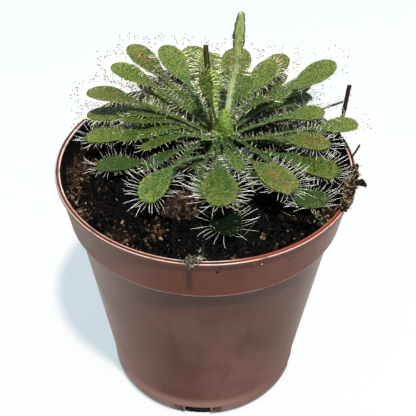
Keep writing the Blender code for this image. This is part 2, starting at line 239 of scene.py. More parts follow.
def ball_blank(sides: int, rings: int) -> tuple[bmesh.types.BMesh, np.ndarray, np.ndarray, np.ndarray]:
    """Make a ball that is then drawn out along a course.

    Args:
        sides: Segments round it.
        rings: Segments from pole to pole.

    Returns:
        The ball, and for each corner its share of the way up, its turn about the axis and whether it is a pole.
    """
    work = bmesh.new()
    bmesh.ops.create_uvsphere(work, u_segments=sides, v_segments=rings, radius=1.0)
    x, y, z = points_of(work).T
    return work, 1.0 - np.arccos(np.clip(z, -1, 1)) / math.pi, np.arctan2(y, x), np.hypot(x, y) < 1e-4


def mark(work: bmesh.types.BMesh, **values: np.ndarray) -> None:
    """Write values at a bmesh's corners, which finishes read by name.

    Args:
        work: The bmesh.
        values: One number for each corner.
    """
    for name, numbers in values.items():
        layer = work.verts.layers.float.new(name)
        for corner, number in zip(work.verts, numbers):
            corner[layer] = float(number)


def mesh_of(work: bmesh.types.BMesh, name: str) -> bpy.types.Mesh:
    """Turn a bmesh to a mesh.

    Args:
        work: The bmesh, which is freed.
        name: Name of the mesh.

    Returns:
        The mesh.
    """
    mesh = bpy.data.meshes.new(name)
    work.to_mesh(mesh)
    work.free()
    return mesh


def refined(node: bpy.types.Object, cuts: int) -> bmesh.types.BMesh:
    """Take a CAD node's shape in millimetres, with its edges split.

    Args:
        node: The CAD node.
        cuts: Cuts in each edge.

    Returns:
        The shape.
    """
    work = bmesh.new()
    work.from_mesh(node.data)
    bmesh.ops.scale(work, verts=work.verts[:], vec=(1 / MM,) * 3)
    bmesh.ops.remove_doubles(work, verts=work.verts[:], dist=WELD)
    bmesh.ops.subdivide_edges(work, edges=work.edges[:], cuts=cuts, use_grid_fill=True)
    return work


def put(name: str, data: bpy.types.Mesh | bpy.types.Light | bpy.types.Camera) -> bpy.types.Object:
    """Put a mesh, a light or a camera in the scene.

    Args:
        name: Name of the object.
        data: What it shows.

    Returns:
        The object.
    """
    item = bpy.data.objects.new(name, data)
    bpy.context.scene.collection.objects.link(item)
    return item


def add_piece(name: str, shape: bmesh.types.BMesh | bpy.types.Mesh, finishes: tuple[Finish, ...], slot: str,
              replaced: tuple[str, ...] = (), crease: float = 50.0) -> bpy.types.Object:
    """Make a finished piece from a shape in millimetres, and fix it to the frame.

    Args:
        name: Name of the piece.
        shape: Its shape; a bmesh is freed.
        finishes: Its finishes, in the order of the faces' material numbers.
        slot: The record's material slot; not used.
        replaced: CAD nodes that it stands for.
        crease: Angle in degrees past which an edge stays sharp.

    Returns:
        The piece.
    """
    mesh = mesh_of(shape, name) if isinstance(shape, bmesh.types.BMesh) else shape
    mesh.transform(Matrix.Scale(MM, 4))
    mesh.shade_smooth()
    mesh.set_sharp_from_angle(angle=math.radians(crease))
    for finish in finishes:
        mesh.materials.append(finish.material())
    piece = put(name, mesh)
    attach(piece, BODY)
    if replaced:
        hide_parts(*replaced)
    log.info("%s: %d faces, finish %s", name, len(mesh.polygons), finishes[0].name)
    return piece


# ---- finishes --------------------------------------------------------------------------

@dataclass(frozen=True)
class Finish:
    """Finish of a real material. A kind of finish draws its pattern in look()."""

    name: str

    def material(self) -> bpy.types.Material:
        """Give the finish's material, which is made when it is first asked for.

        Returns:
            The material.
        """
        known = bpy.data.materials.get(self.name)
        if known:
            return known
        material = bpy.data.materials.new(self.name)
        material.use_nodes = True
        tree = material.node_tree
        tree.nodes.clear()
        surface = add_node(tree, "BsdfPrincipled", self.look(partial(add_node, tree)))
        tree.links.new(surface, tree.nodes.new("ShaderNodeOutputMaterial").inputs[0])
        return material

    def look(self, add: Adder) -> dict[str, Value]:
        """Draw the finish's pattern, and give its shader's inputs."""
        raise NotImplementedError


@dataclass(frozen=True)
class MouldedPolypropylene(Finish):
    """Brown polypropylene, injection moulded: satin skin, cloudy with dried water, and dusty. The lip's two ridges are
    scuffed pale and carry a painted highlight, and the inner one is painted orange where light comes through it."""

    skin: str = "#46231a"
    body: str = "#3a211b"          # below the collar
    wet: str = "#08060a"           # inside: wet, and painted dark for the shade in the pot
    # dust; on the foot band and the left side also a painted sheen
    dust_and_sheen: str = "#604844"
    # stains; in the recesses beside the drain slots also painted shade
    stain_and_shade: str = "#220f0b"
    lip: str = "#210d08"
    glow: str = "#5f2a1c"          # inner ridge of the lip where light comes through it
    # pale from wear and a painted highlight, on the lip's ridges and the collar's lower edge
    wear_and_highlight: str = "#7a6d67"
    inner_wear_and_highlight: str = "#8f7f78"   # inner ridge of the lip: wear and a painted highlight
    # places on the pot, in mm
    smudge: tuple[float, float, float, float] = (-5.3, -2.6, 71.0, 81.4)       # sides, bottom and top of a drip's mark
    lip_start: tuple[float, float] = (83.5, 83.7)   # heights between which the lip's skin starts
    groove: tuple[float, float] = (43.95, 44.56)    # radii of the lip's groove
    recess: tuple[float, float] = (31.4, 5.6)       # radius and top of the recesses beside the drain slots
    collar_edge: float = 69.0      # height of the collar's lower edge, drawn pale with wear and a painted highlight
    band_top: float = 6.5          # height under which the foot band is paler all over: dust and a painted sheen
    # patterns, in mm
    cloud: float = 26.0            # size of the dust clouds
    streak: float = 3.5            # width of the water streaks
    speck: float = 2.6             # spacing of the dust specks
    grain: float = 0.7             # the mould's grain, drawn coarse enough to show

    def look(self, add: Adder) -> dict[str, Value]:
        """Draw the finish's pattern.

        Args:
            add: Adds a node.

        Returns:
            Inputs of the finish's shader.
        """
        place = add("TexCoord", output="Object")
        clouds = add("TexNoise", {"Vector": place, "Scale": 1 / (self.cloud * MM), "Detail": 5.0})
        upright = add("Mapping", {"Vector": place, "Scale": (1.0, 1.0, 0.12)})
        streaks = add("TexNoise", {"Vector": upright, "Scale": 1 / (self.streak * MM), "Detail": 4.0})
        grain = add("TexNoise", {"Vector": place, "Scale": 1 / (self.grain * MM)})
        specks = add("TexVoronoi", {"Vector": place, "Scale": 1 / (self.speck * MM)})
        spot = add("VectorMath", (place, (1 / MM,) * 3), operation="MULTIPLY")
        side, away, height = add("SeparateXYZ", (spot,)).node.outputs      # to the right, to the back and up
        flat = add("VectorMath", (spot, (1.0, 1.0, 0.0)), operation="MULTIPLY")
        radius = add("VectorMath", (flat,), "Value", operation="LENGTH")
        depth = add("Math", (height, -0.16, radius), operation="MULTIPLY_ADD")     # from the tapering wall
        beside = add("Math", (side,), operation="ABSOLUTE")
        lit_right = add("MapRange", (side, 3.0, 14.0), **SMOOTH)
        lit_beside = add("MapRange", (beside, 3.0, 14.0, 0.0, 0.45), **SMOOTH)
        lit = add("Math", (lit_right, lit_beside), operation="MAXIMUM")
        ridge_wear_and_highlight = add("MapRange", (streaks, 0.3, 0.5, 0.4, 1.0), **SMOOTH)
        edge_wear_and_highlight = add("MapRange", (streaks, 0.3, 0.5, 0.15, 0.8), **SMOOTH)
        left, right, low, high = self.smudge
        inner, outer = self.groove
        edge, band, recess, on_lip = self.collar_edge, self.band_top, self.recess, (height, *self.lip_start)
        colour = layered(
            add, self.body,
            (1.0, self.skin, (height, edge - 0.2, edge + 0.2)),
            (0.35, self.dust_and_sheen, (clouds, 0.38, 0.72)),
            (0.35, self.stain_and_shade, (streaks, 0.5, 0.8)),
            (0.5, self.dust_and_sheen, (specks, 0.07, 0.03)),
            (0.16, self.stain_and_shade, (grain, 0.4, 0.65)),
            # what has run down the collar, and dust with a painted sheen on the foot band and the left side
            (0.75, self.stain_and_shade, (away, 0.0, -20.0), (side, left, left + 0.9), (side, right, right - 0.9),
             (height, low, low + 1.8), (height, high, high - 1.8)),
            (0.85, self.dust_and_sheen, (height, band + 4.0, band), (side, 34.0, 2.0)),
            (0.55, self.dust_and_sheen, (side, -8.0, -30.0)),
            # painted shade in the recesses, the inside wet and painted dark for its shade, and the lip
            (0.75, self.stain_and_shade, (height, recess[1], recess[1] - 0.4), (radius, recess[0], recess[0] - 0.3)),
            (1.0, self.wet, (height, edge, edge + 0.5), (depth, 30.8, 30.4)),
            (1.0, self.lip, on_lip),
            # the lip's ridges: pale from wear and a painted highlight
            (ridge_wear_and_highlight, self.wear_and_highlight, on_lip, (radius, outer, outer + 0.1), (height, 83.7, 83.9)),
            (ridge_wear_and_highlight, self.inner_wear_and_highlight, on_lip, (radius, inner, inner - 0.1)),
            (lit, self.glow, on_lip, (away, -14.0, -22.0), (radius, outer - 0.1, inner + 0.1)),
            # the collar's lower edge: a pale line of wear and a painted highlight
            (edge_wear_and_highlight, self.wear_and_highlight, (height, edge, edge + 0.12), (height, edge + 0.6, edge + 0.36)))
        return {"Base Color": colour, "Roughness": add("MapRange", (clouds, 0.35, 0.7, 0.3, 0.46), **SMOOTH),
                "Normal": add("Bump", {"Height": grain, "Strength": 0.12, "Distance": 0.2 * MM}),
                "IOR": 1.49, "Specular IOR Level": 0.17}


@dataclass(frozen=True)
class MilledPeat(Finish):
    """Moist milled peat: nearly black, matt, with wet glints. The "tint" value turns a crumb brown or buff."""

    stops: tuple[tuple[float, str], ...] = ((0.0, "#010102"), (0.5, "#040405"), (0.72, "#1d140e"), (1.0, "#6e5b48"))
    grain: float = 1.3             # size of the finest lumps, in mm

    def look(self, add: Adder) -> dict[str, Value]:
        """Draw the finish's pattern.

        Args:
            add: Adds a node.

        Returns:
            Inputs of the finish's shader.
        """
        grain = add("TexNoise", {"Vector": add("TexCoord", output="Object"), "Scale": 1 / (self.grain * MM),
                                 "Detail": 6.0, "Roughness": 0.65})
        tint = add("Attribute", output="Fac", attribute_name="tint")
        lumps = add("MapRange", (grain, 0.3, 0.75, -0.16, 0.2), **SMOOTH)
        shade = add("Math", (tint, lumps), operation="ADD")
        return {"Base Color": add("ValToRGB", (shade,), stops=self.stops),
                "Roughness": add("MapRange", (grain, 0.35, 0.65, 0.22, 0.9), **SMOOTH),
                "Normal": add("Bump", {"Height": grain, "Strength": 0.9, "Distance": 0.8 * MM}),
                "Specular IOR Level": 0.03}


@dataclass(frozen=True)
class LeafCuticle(Finish):
    """Sundew leaf skin: a thin waxy cuticle over soft green tissue, stippled where the glands stand, yellow at the
    rim and sometimes flushed red in the middle. It reads the leaf's "along", "across" and "breadth" values."""

    blade: str = "#19330e"
    vein: str = "#0e1d08"
    petiole: str = "#183018"
    rim: str = "#474e1d"
    flush: str = "#56200f"
    flushed: float = 0.15          # strength of the red middle, 0 to 1
    dotted: float = 0.9            # strength of the gland bases, 0 to 1
    gloss: float = 0.12
    # patterns, in mm
    mottle: float = 2.4            # size of the paler patches
    stipple: float = 0.72          # spacing of the gland bases
    grain: float = 0.45            # light and dark cells, drawn coarse enough to show

    def look(self, add: Adder) -> dict[str, Value]:
        """Draw the finish's pattern.

        Args:
            add: Adds a node.

        Returns:
            Inputs of the finish's shader.
        """
        place = add("TexCoord", output="Object")
        along, across, breadth = (add("Attribute", output="Fac", attribute_name=name)
                                  for name in ("along", "across", "breadth"))
        mottle = add("TexNoise", {"Vector": place, "Scale": 1 / (self.mottle * MM), "Detail": 4.0})
        grain = add("TexNoise", {"Vector": place, "Scale": 1 / (self.grain * MM)})
        dots = add("TexVoronoi", {"Vector": place, "Scale": 1 / (self.stipple * MM)})
        side = add("Math", (across,), operation="ABSOLUTE")
        at_side = add("MapRange", (side, 0.62, 1.0, 0.0, 0.75), **SMOOTH)
        at_tip = add("MapRange", (along, 0.82, 1.0, 0.0, 0.85), **SMOOTH)
        margin = add("Math", (at_side, at_tip), operation="MAXIMUM")
        patches = self.flushed
        for value, none, full in ((side, 0.75, 0.1), (breadth, 0.6, 0.95), (mottle, 0.4, 0.62)):
            patches = add("MapRange", (value, none, full, 0.0, patches), **SMOOTH)
        bases = add("MixRGB", (patches, self.vein, self.flush))
        colour = layered(
            add, self.petiole,
            (1.0, self.blade, (breadth, 0.25, 0.75)),
            (0.45, self.rim, (mottle, 0.44, 0.7)),
            (margin, self.rim, (breadth, 0.3, 0.7)),
            (0.35, self.flush, (patches, 0.0, 1.0)),
            (self.dotted, bases, (dots, 0.4, 0.28), (breadth, 0.3, 0.6)),
            (0.75, self.rim, (grain, 0.5, 0.66)),
            (0.85, self.vein, (grain, 0.5, 0.34)))
        return {"Base Color": colour, "Roughness": add("MapRange", (mottle, 0.3, 0.7, 0.3, 0.48), **SMOOTH),
                "Normal": add("Bump", {"Height": dots, "Strength": 0.9, "Distance": 0.35 * MM}),
                "Subsurface Weight": 0.12, "Subsurface Radius": (0.0006, 0.001, 0.0003), "Subsurface Scale": 1.0,
                "IOR": 1.42, "Specular IOR Level": self.gloss}


@dataclass(frozen=True)
class TentacleStalk(Finish):
    """Glassy hair of a sundew: nearly clear cells that look white in the light, greener at the foot."""

    foot: str = "#5f6d3c"
    top: str = "#cacdce"

    def look(self, add: Adder) -> dict[str, Value]:
        """Draw how the stalk pales from its foot up, and give the shader's inputs."""
        along = add("Attribute", output="Fac", attribute_name="along")
        return {"Base Color": layered(add, self.foot, (1.0, self.top, (along, 0.0, 0.7))), "Roughness": 0.28}


@dataclass(frozen=True)
class GlandHead(Finish):
    """Gland at a tentacle's end: wine red, wet and smooth, darker at its foot."""

    colour: str = "#3f1416"
    foot: str = "#1a0808"

    def look(self, add: Adder) -> dict[str, Value]:
        """Draw how the gland darkens at its foot, and give the shader's inputs."""
        along = add("Attribute", output="Fac", attribute_name="along")
        return {"Base Color": layered(add, self.foot, (1.0, self.colour, (along, 1.0, 1.1))), "Roughness": 0.2}


@dataclass(frozen=True)
class Mucilage(Finish):
    """Drop of sundew glue: clear syrup, so it shows a bright glint and a dark edge."""

    def look(self, add: Adder) -> dict[str, Value]:
        """Draw the finish's pattern.

        Args:
            add: Adds a node.

        Returns:
            Inputs of the finish's shader.
        """
        film = add("TexNoise", {"Vector": add("TexCoord", output="Object"), "Scale": 1 / (0.4 * MM)})
        return {"Base Color": add("MixRGB", (film, "#ffffff", "#f4efe6")), "Roughness": 0.03, "IOR": 1.36,
                "Transmission Weight": 1.0}


@dataclass(frozen=True)
class ScapeSkin(Finish):
    """Skin of a growing flower stalk: pale green and downy, with darker ribs and a browner furled tip."""

    low: str = "#889969"
    high: str = "#64743c"
    rib: str = "#43542a"
    edge: str = "#1b2012"

    def look(self, add: Adder) -> dict[str, Value]:
        """Draw the finish's pattern.

        Args:
            add: Adds a node.

        Returns:
            Inputs of the finish's shader.
        """
        along, across = (add("Attribute", output="Fac", attribute_name=name) for name in ("along", "across"))
        upright = add("Mapping", {"Vector": add("TexCoord", output="Object"), "Scale": (1.0, 1.0, 0.25)})
        down = add("TexNoise", {"Vector": upright, "Scale": 1 / (0.8 * MM), "Detail": 4.0})
        side = add("Math", (across,), operation="ABSOLUTE")
        colour = layered(add, self.low, (1.0, self.high, (along, 0.3, 0.75)), (0.75, self.rib, (down, 0.48, 0.66)),
                         (0.95, self.edge, (along, 0.66, 0.78), (side, 0.58, 0.8)))
        return {"Base Color": colour, "Roughness": add("MapRange", (down, 0.3, 0.7, 0.4, 0.6), **SMOOTH),
                "Normal": add("Bump", {"Height": down, "Strength": 0.4, "Distance": 0.3 * MM}),
                "Subsurface Weight": 0.1, "Subsurface Radius": (0.0006, 0.001, 0.0004), "Subsurface Scale": 1.0}


@dataclass(frozen=True)
class DriedStalk(Finish):
    """Dead plant stalk: dry fibres in brown and olive, darker towards the cut."""

    low: str = "#3a3c14"
    high: str = "#353116"
    fibre: str = "#0f0c06"
    turn: float = 0.55             # share of the length where the colour turns

    def look(self, add: Adder) -> dict[str, Value]:
        """Draw the finish's pattern.

        Args:
            add: Adds a node.

        Returns:
            Inputs of the finish's shader.
        """
        along, across = (add("Attribute", output="Fac", attribute_name=name) for name in ("along", "across"))
        upright = add("Mapping", {"Vector": add("TexCoord", output="Object"), "Scale": (1.0, 1.0, 0.1)})
        fibres = add("TexNoise", {"Vector": upright, "Scale": 1 / (0.35 * MM), "Detail": 3.0})
        side = add("Math", (across,), operation="ABSOLUTE")
        colour = layered(add, self.low, (1.0, self.high, (along, self.turn - 0.25, self.turn + 0.25)),
                         (0.6, self.fibre, (fibres, 0.45, 0.65)), (0.85, self.fibre, (side, 0.45, 0.85)))
        return {"Base Color": colour, "Roughness": add("MapRange", (fibres, 0.3, 0.7, 0.55, 0.85), **SMOOTH),
                "Normal": add("Bump", {"Height": fibres, "Strength": 0.6, "Distance": 0.2 * MM}),
                "Specular IOR Level": 0.08}


@dataclass(frozen=True)
class StudioPaper(Finish):
    """Translucent background paper, lit evenly from below, with a tooth that only shows close up."""

    colour: str = "#59514d"
    tooth: str = "#574f4b"
    glow: str = "#c0cfd7"

    def look(self, add: Adder) -> dict[str, Value]:
        """Draw the finish's pattern.

        Args:
            add: Adds a node.

        Returns:
            Inputs of the finish's shader.
        """
        tooth = add("TexNoise", {"Vector": add("TexCoord", output="Object"), "Scale": 1 / (1.2 * MM)})
        return {"Base Color": add("MixRGB", (tooth, self.colour, self.tooth)), "Roughness": 0.9,
                "Emission Color": self.glow, "Emission Strength": 1.0}


PLASTIC = MouldedPolypropylene("moulded_polypropylene")
PEAT = MilledPeat("milled_peat")
LOOSE_PEAT = MilledPeat(
    "loose_dry_peat", stops=((0.0, "#020101"), (0.4, "#0a0705"), (0.7, "#261b15"), (1.0, "#584839")))
MOSS = MilledPeat(
    "moss_and_bark", stops=((0.0, "#020201"), (0.4, "#100b07"), (0.7, "#2c231a"), (1.0, "#74654f")))
PALE_MOSS = MilledPeat(
    "dry_moss", stops=((0.0, "#080806"), (0.4, "#1b1c16"), (0.7, "#414136"), (1.0, "#84827a")))
STALK = TentacleStalk("tentacle_stalk")
# painted shade: a copy of the stalk for shaded leaves, pale at the foot and dark at the top
SHADED_STALK = TentacleStalk("tentacle_stalk_shaded", foot="#c4c6ad", top="#2e2e24")
GLAND = GlandHead("gland_head")
# painted light: a paler copy of the gland for leaves in the light
LIT_GLAND = GlandHead("gland_head_pale", colour="#7d6a5c", foot="#452e22")
GLUE = Mucilage("sundew_glue")
GREEN_SCAPE = ScapeSkin("scape_skin")
DRY_SCAPE = DriedStalk("dried_scape")
DRY_TWIG = DriedStalk("dried_twig", low="#2e2119", high="#241713", fibre="#0e0806")
PAPER = StudioPaper("background_paper")


class LeafAgeAndLight(Enum):
    """Looks of the rosette's leaves: younger or older, and with the light and shade of their place painted in."""

    SUNLIT = LeafCuticle("leaf_cuticle_sunlit")
    BRIGHT = LeafCuticle("leaf_cuticle_bright", blade="#36481a", petiole="#253d20", rim="#4d5525",
                         flushed=0.2, dotted=0.6)
    FRESH = LeafCuticle("leaf_cuticle_fresh", blade="#263c15", petiole="#1d351c", rim="#4a5524", flushed=0.15)
    FLUSHED = LeafCuticle("leaf_cuticle_flushed", blade="#303f18", petiole="#1f3012", rim="#4d5026",
                          flushed=0.95, dotted=0.6)
    # painted shade: a darker copy for leaves that stand in shade
    SHADED = LeafCuticle("leaf_cuticle_shaded", blade="#172c0b", petiole="#11200b", rim="#2a3816", flushed=0.05)
    # painted shadow: leaf 7 lies in the front leaf's shadow, and its colour is painted nearly black
    DEEP = LeafCuticle("leaf_cuticle_deep_shade", vein="#010201", blade="#010702", petiole="#020802", rim="#040d04",
                       flushed=0.0, gloss=0.04)
    YOUNG = LeafCuticle("leaf_cuticle_young", blade="#4a6126", petiole="#4a6129", rim="#5c6b2c", flushed=0.1)


# the leaves' numbers; those that aren't named are sunlit
LEAVES_BY_AGE_AND_LIGHT = {
    LeafAgeAndLight.FRESH: (4, 8, 19, 20, 30, 34, 37, 40, 43, 45),
    LeafAgeAndLight.BRIGHT: (2, 14, 15, 18, 21, 22, 24, 25, 29, 31, 32, 36),
    LeafAgeAndLight.FLUSHED: (9, 12, 23, 28, 33, 35),
    LeafAgeAndLight.SHADED: (1, 3, 5, 10, 13, 16, 17, 26, 27, 38, 46),
    LeafAgeAndLight.DEEP: (7,),
    LeafAgeAndLight.YOUNG: (44,),
}


def age_and_light_of(number: int) -> LeafAgeAndLight:
    """Look of the leaf with this number."""
    return next((age for age, numbers in LEAVES_BY_AGE_AND_LIGHT.items() if number in numbers), LeafAgeAndLight.SUNLIT)


# ---- repeated small shapes -------------------------------------------------------------

@dataclass(frozen=True)
class Stamp:
    """Small shape made once by mesh operators, to be set down many times."""

    corners: np.ndarray
    faces: np.ndarray

    @classmethod
    def of(cls, work: bmesh.types.BMesh) -> Stamp:
        """Take the shape of a bmesh, which is freed.

        Args:
            work: The shape.

        Returns:
            Its stamp, in triangles.
        """
        bmesh.ops.recalc_face_normals(work, faces=work.faces[:])
        bmesh.ops.triangulate(work, faces=work.faces[:])
        work.verts.index_update()
        faces = np.array([[corner.index for corner in face.verts] for face in work.faces])
        stamp = cls(points_of(work), faces)
        work.free()
        return stamp

    @classmethod
    def rod(cls, sides: int, rings: int, tip: float) -> Stamp:
        """Make an upright tapered rod of length one and foot radius one.

        Args:
            sides: Sides of its section.
            rings: Segments along it.
            tip: Radius at its top.

        Returns:
            Its stamp.
        """
        work = rod_blank(sides, tip, rings - 1)
        bmesh.ops.translate(work, verts=work.verts[:], vec=(0.0, 0.0, 0.5))
        return cls.of(work)

    @classmethod
    def bead(cls, segments: int, rings: int, length: float) -> Stamp:
        """Make a drop-shaped bead of radius one, stretched along its axis.

        Args:
            segments: Segments round it.
            rings: Segments along it.
            length: Half its length.

        Returns:
            Its stamp.
        """
        work = bmesh.new()
        bmesh.ops.create_uvsphere(work, u_segments=segments, v_segments=rings, radius=1.0)
        bmesh.ops.scale(work, verts=work.verts[:], vec=(1.0, 1.0, length))
        return cls.of(work)

    @classmethod
    def crumb(cls, detail: int, seed: float) -> Stamp:
        """Make an angular crumb of about radius one.

        Args:
            detail: Subdivisions of the sphere that it starts from.
            seed: Shift of its roughness.

        Returns:
            Its stamp.
        """
        work = bmesh.new()
        bmesh.ops.create_icosphere(work, subdivisions=detail, radius=1.0)
        points = points_of(work)
        move_points(work, points * (1.0 + 0.55 * rough(points, 0.9, 2, seed))[:, None])
        return cls.of(work)


def frames(axes: np.ndarray, spin: np.ndarray) -> tuple[np.ndarray, np.ndarray]:
    """Find two directions square to each axis.

    Args:
        axes: Unit axes.
        spin: Turn of the pair about each axis, in radians.

    Returns:
        The two directions.
    """
    helper = np.where(np.abs(axes[:, 2:]) < 0.9, UP, np.array((1.0, 0.0, 0.0)))
    first = unit(np.cross(helper, axes))
    second = np.cross(axes, first)
    cos, sin = np.cos(spin)[:, None], np.sin(spin)[:, None]
    return first * cos + second * sin, second * cos - first * sin


def bent_rods(stamp: Stamp, feet: np.ndarray, aheads: np.ndarray, bends: np.ndarray, lengths: np.ndarray,
              radii: np.ndarray) -> np.ndarray:
    """Set down rods, each bent along its own arc.

    Args:
        stamp: Upright rod of length one.
        feet: Where the rods start.
        aheads: Unit directions in which they start.
        bends: How far each tip is carried aside, as a share of the length.
        lengths: Their lengths.
        radii: Their foot radii.

    Returns:
        Corners of each copy.
    """
    first, second = frames(aheads, np.zeros(len(aheads)))
    x, y, z = stamp.corners.T
    middle = aheads[:, None] * z[:, None] + bends[:, None] * (z * z)[:, None]
    skin = first[:, None] * x[:, None] + second[:, None] * y[:, None]
    return feet[:, None] + lengths[:, None, None] * middle + radii[:, None, None] * skin


def turned_copies(stamp: Stamp, places: np.ndarray, axes: np.ndarray, sizes: np.ndarray,
                  spin: np.ndarray) -> np.ndarray:
    """Set down stiff copies, each with its own place, axis and size.

    Args:
        stamp: The shape, along Z.
        places: Middles of the copies.
        axes: Unit direction of each copy's Z axis.
        sizes: Size of each copy, one number or three.
        spin: Turn of each copy about its axis, in radians.

    Returns:
        Corners of each copy.
    """
    first, second = frames(axes, spin)
    sizes = sizes[:, None] * np.ones(3) if sizes.ndim == 1 else sizes
    scaled = stamp.corners[None] * sizes[:, None]
    x, y, z = (scaled[..., i:i + 1] for i in range(3))
    return places[:, None] + first[:, None] * x + second[:, None] * y + axes[:, None] * z


@dataclass
class Heap:
    """Mesh that grows from stamped copies, with one named value at each corner."""

    value_name: str
    corners: list[np.ndarray] = field(default_factory=list)
    faces: list[np.ndarray] = field(default_factory=list)
    numbers: list[np.ndarray] = field(default_factory=list)
    values: list[np.ndarray] = field(default_factory=list)
    count: int = 0

    def add(self, stamp: Stamp, copies: np.ndarray, values: np.ndarray, number: int = 0) -> None:
        """Add copies of a shape.

        Args:
            stamp: The shape.
            copies: Corners of each copy.
            values: Value at each corner of each copy.
            number: Material number of their faces.
        """
        many, each = copies.shape[:2]
        starts = self.count + each * np.arange(many)
        self.corners.append(copies.reshape(-1, 3))
        self.faces.append((stamp.faces[None] + starts[:, None, None]).reshape(-1, 3))
        self.numbers.append(np.full(many * len(stamp.faces), number))
        self.values.append(np.broadcast_to(values, (many, each)).ravel())
        self.count += many * each

    def mesh(self, name: str) -> bpy.types.Mesh:
        """Give the heap as one mesh.

        Args:
            name: Name of the mesh.

        Returns:
            The mesh.
        """
        mesh = bpy.data.meshes.new(name)
        mesh.from_pydata(np.concatenate(self.corners), [], np.concatenate(self.faces))
        mesh.polygons.foreach_set("material_index", np.concatenate(self.numbers).astype(np.int32))
        values = mesh.attributes.new(self.value_name, "FLOAT", "POINT")
        values.data.foreach_set("value", np.concatenate(self.values).astype(np.float32))
        return mesh


# ---- course of a CAD node --------------------------------------------------------------

@dataclass(frozen=True)
class Spine:
    """Course of a CAD node that was lofted through rings of eight corners."""

    shares: np.ndarray             # share of the length at each ring
    middles: np.ndarray
    sides: np.ndarray              # unit direction of the widest way across
    widths: np.ndarray
    length: float

    RING = 8
    ROUNDNESS = 0.62               # power that keeps the width smooth where the tip closes

    @classmethod
    def of(cls, node: bpy.types.Object, start: np.ndarray) -> Spine:
        """Read a node's course.

        Args:
            node: The CAD node.
            start: Place near the end where it starts, in millimetres.

        Returns:
            Its course.
        """
        work = bmesh.new()
        work.from_mesh(node.data)
        bmesh.ops.remove_doubles(work, verts=work.verts[:], dist=MM * MM)
        work.verts.index_update()
        points = points_of(work) / MM
        neighbours = [[edge.other_vert(corner).index for edge in corner.link_edges] for corner in work.verts]
        work.free()
        # the first ring is the eight corners furthest back, once the right way back is found
        origin = points[np.argmin(np.linalg.norm((points - start) * (1.0, 1.0, 0.3), axis=1))]
        outward = points.mean(axis=0) - origin
        rings: list[list[int]] = []
        for ahead in (outward, outward * (1.0, 1.0, 0.0), UP, unit(outward) + 0.5 * UP):
            rings = cls.spread(neighbours, [int(i) for i in np.argsort((points - origin) @ ahead)[:cls.RING]])
            if all(len(ring) == cls.RING for ring in rings):
                break
        middles = np.array([points[ring].mean(axis=0) for ring in rings])
        sides, widths = [], []
        for ring, middle in zip(rings, middles):
            arms = points[ring] - middle
            reach = np.linalg.norm(arms, axis=1)
            best = np.argmax(reach if not sides else arms @ sides[-1] / reach)
            sides.append(arms[best] / reach[best])
            widths.append(2 * reach[best])
        along = walked(middles)
        return cls(along / along[-1], middles, np.array(sides), np.array(widths), float(along[-1]))

    @staticmethod
    def spread(neighbours: list[list[int]], first: list[int]) -> list[list[int]]:
        """Walk over a mesh from its first ring.

        Args:
            neighbours: Neighbours of each corner.
            first: Corners of the first ring.

        Returns:
            Corners at each step.
        """
        seen, rings = set(first), [first]
        while rings[-1]:
            ring = sorted({other for corner in rings[-1] for other in neighbours[corner]} - seen)
            seen.update(ring)
            rings.append(ring)
        return rings[:-1]

    @classmethod
    def arched(cls, start: np.ndarray, tip: np.ndarray, lift: float, widths: tuple[float, float],
               roll: float) -> Spine:
        """Lay out the course of a leaf that no CAD node holds.

        Args:
            start: Where it leaves the stem, in millimetres.
            tip: Its tip.
            lift: Height of its arch over the straight line.
            widths: Widths of its petiole and of its blade.
            roll: Turn of its blade about its course, in radians.

        Returns:
            Its course.
        """
        shares = np.linspace(0.0, 1.0, 13)
        middles = start + (tip - start) * shares[:, None] + UP * (4 * lift * shares * (1 - shares))[:, None]
        length = float(walked(middles)[-1])
        along = walked(middles) / length
        aheads = unit(np.gradient(middles, axis=0))
        level = unit(np.cross(aheads, UP))
        sides = level * math.cos(roll) + np.cross(level, aheads) * math.sin(roll)
        blade = np.clip((along - 0.45) / 0.55, 0.0, 0.995)
        spoon = np.sin(np.pi * blade ** 1.5) ** 0.62
        return cls(along, middles, sides, widths[0] + (widths[1] - widths[0]) * spoon, length)

    def read(self, where: np.ndarray) -> tuple[np.ndarray, np.ndarray, np.ndarray, np.ndarray, np.ndarray]:
        """Read the course at shares of its length.

        Args:
            where: The shares, 0 to 1.

        Returns:
            Middles, unit directions ahead, unit sides, unit ups and widths.
        """
        where = np.asarray(where, float)
        middles = hermite(where, self.shares, self.middles)
        step = 0.004
        aheads = unit(hermite(np.clip(where + step, 0, 1), self.shares, self.middles)
                      - hermite(np.clip(where - step, 0, 1), self.shares, self.middles))
        sides = hermite(where, self.shares, self.sides)
        sides = unit(sides - aheads * np.sum(sides * aheads, axis=1, keepdims=True))
        ups = np.cross(sides, aheads)
        flip = np.where(ups[:, 2:] < 0, -1.0, 1.0)
        widths = np.maximum(hermite(where, self.shares, self.widths ** (1 / self.ROUNDNESS)), 0.0) ** self.ROUNDNESS
        return middles, aheads, sides * flip, ups * flip, widths


# ---- pot -------------------------------------------------------------------------------

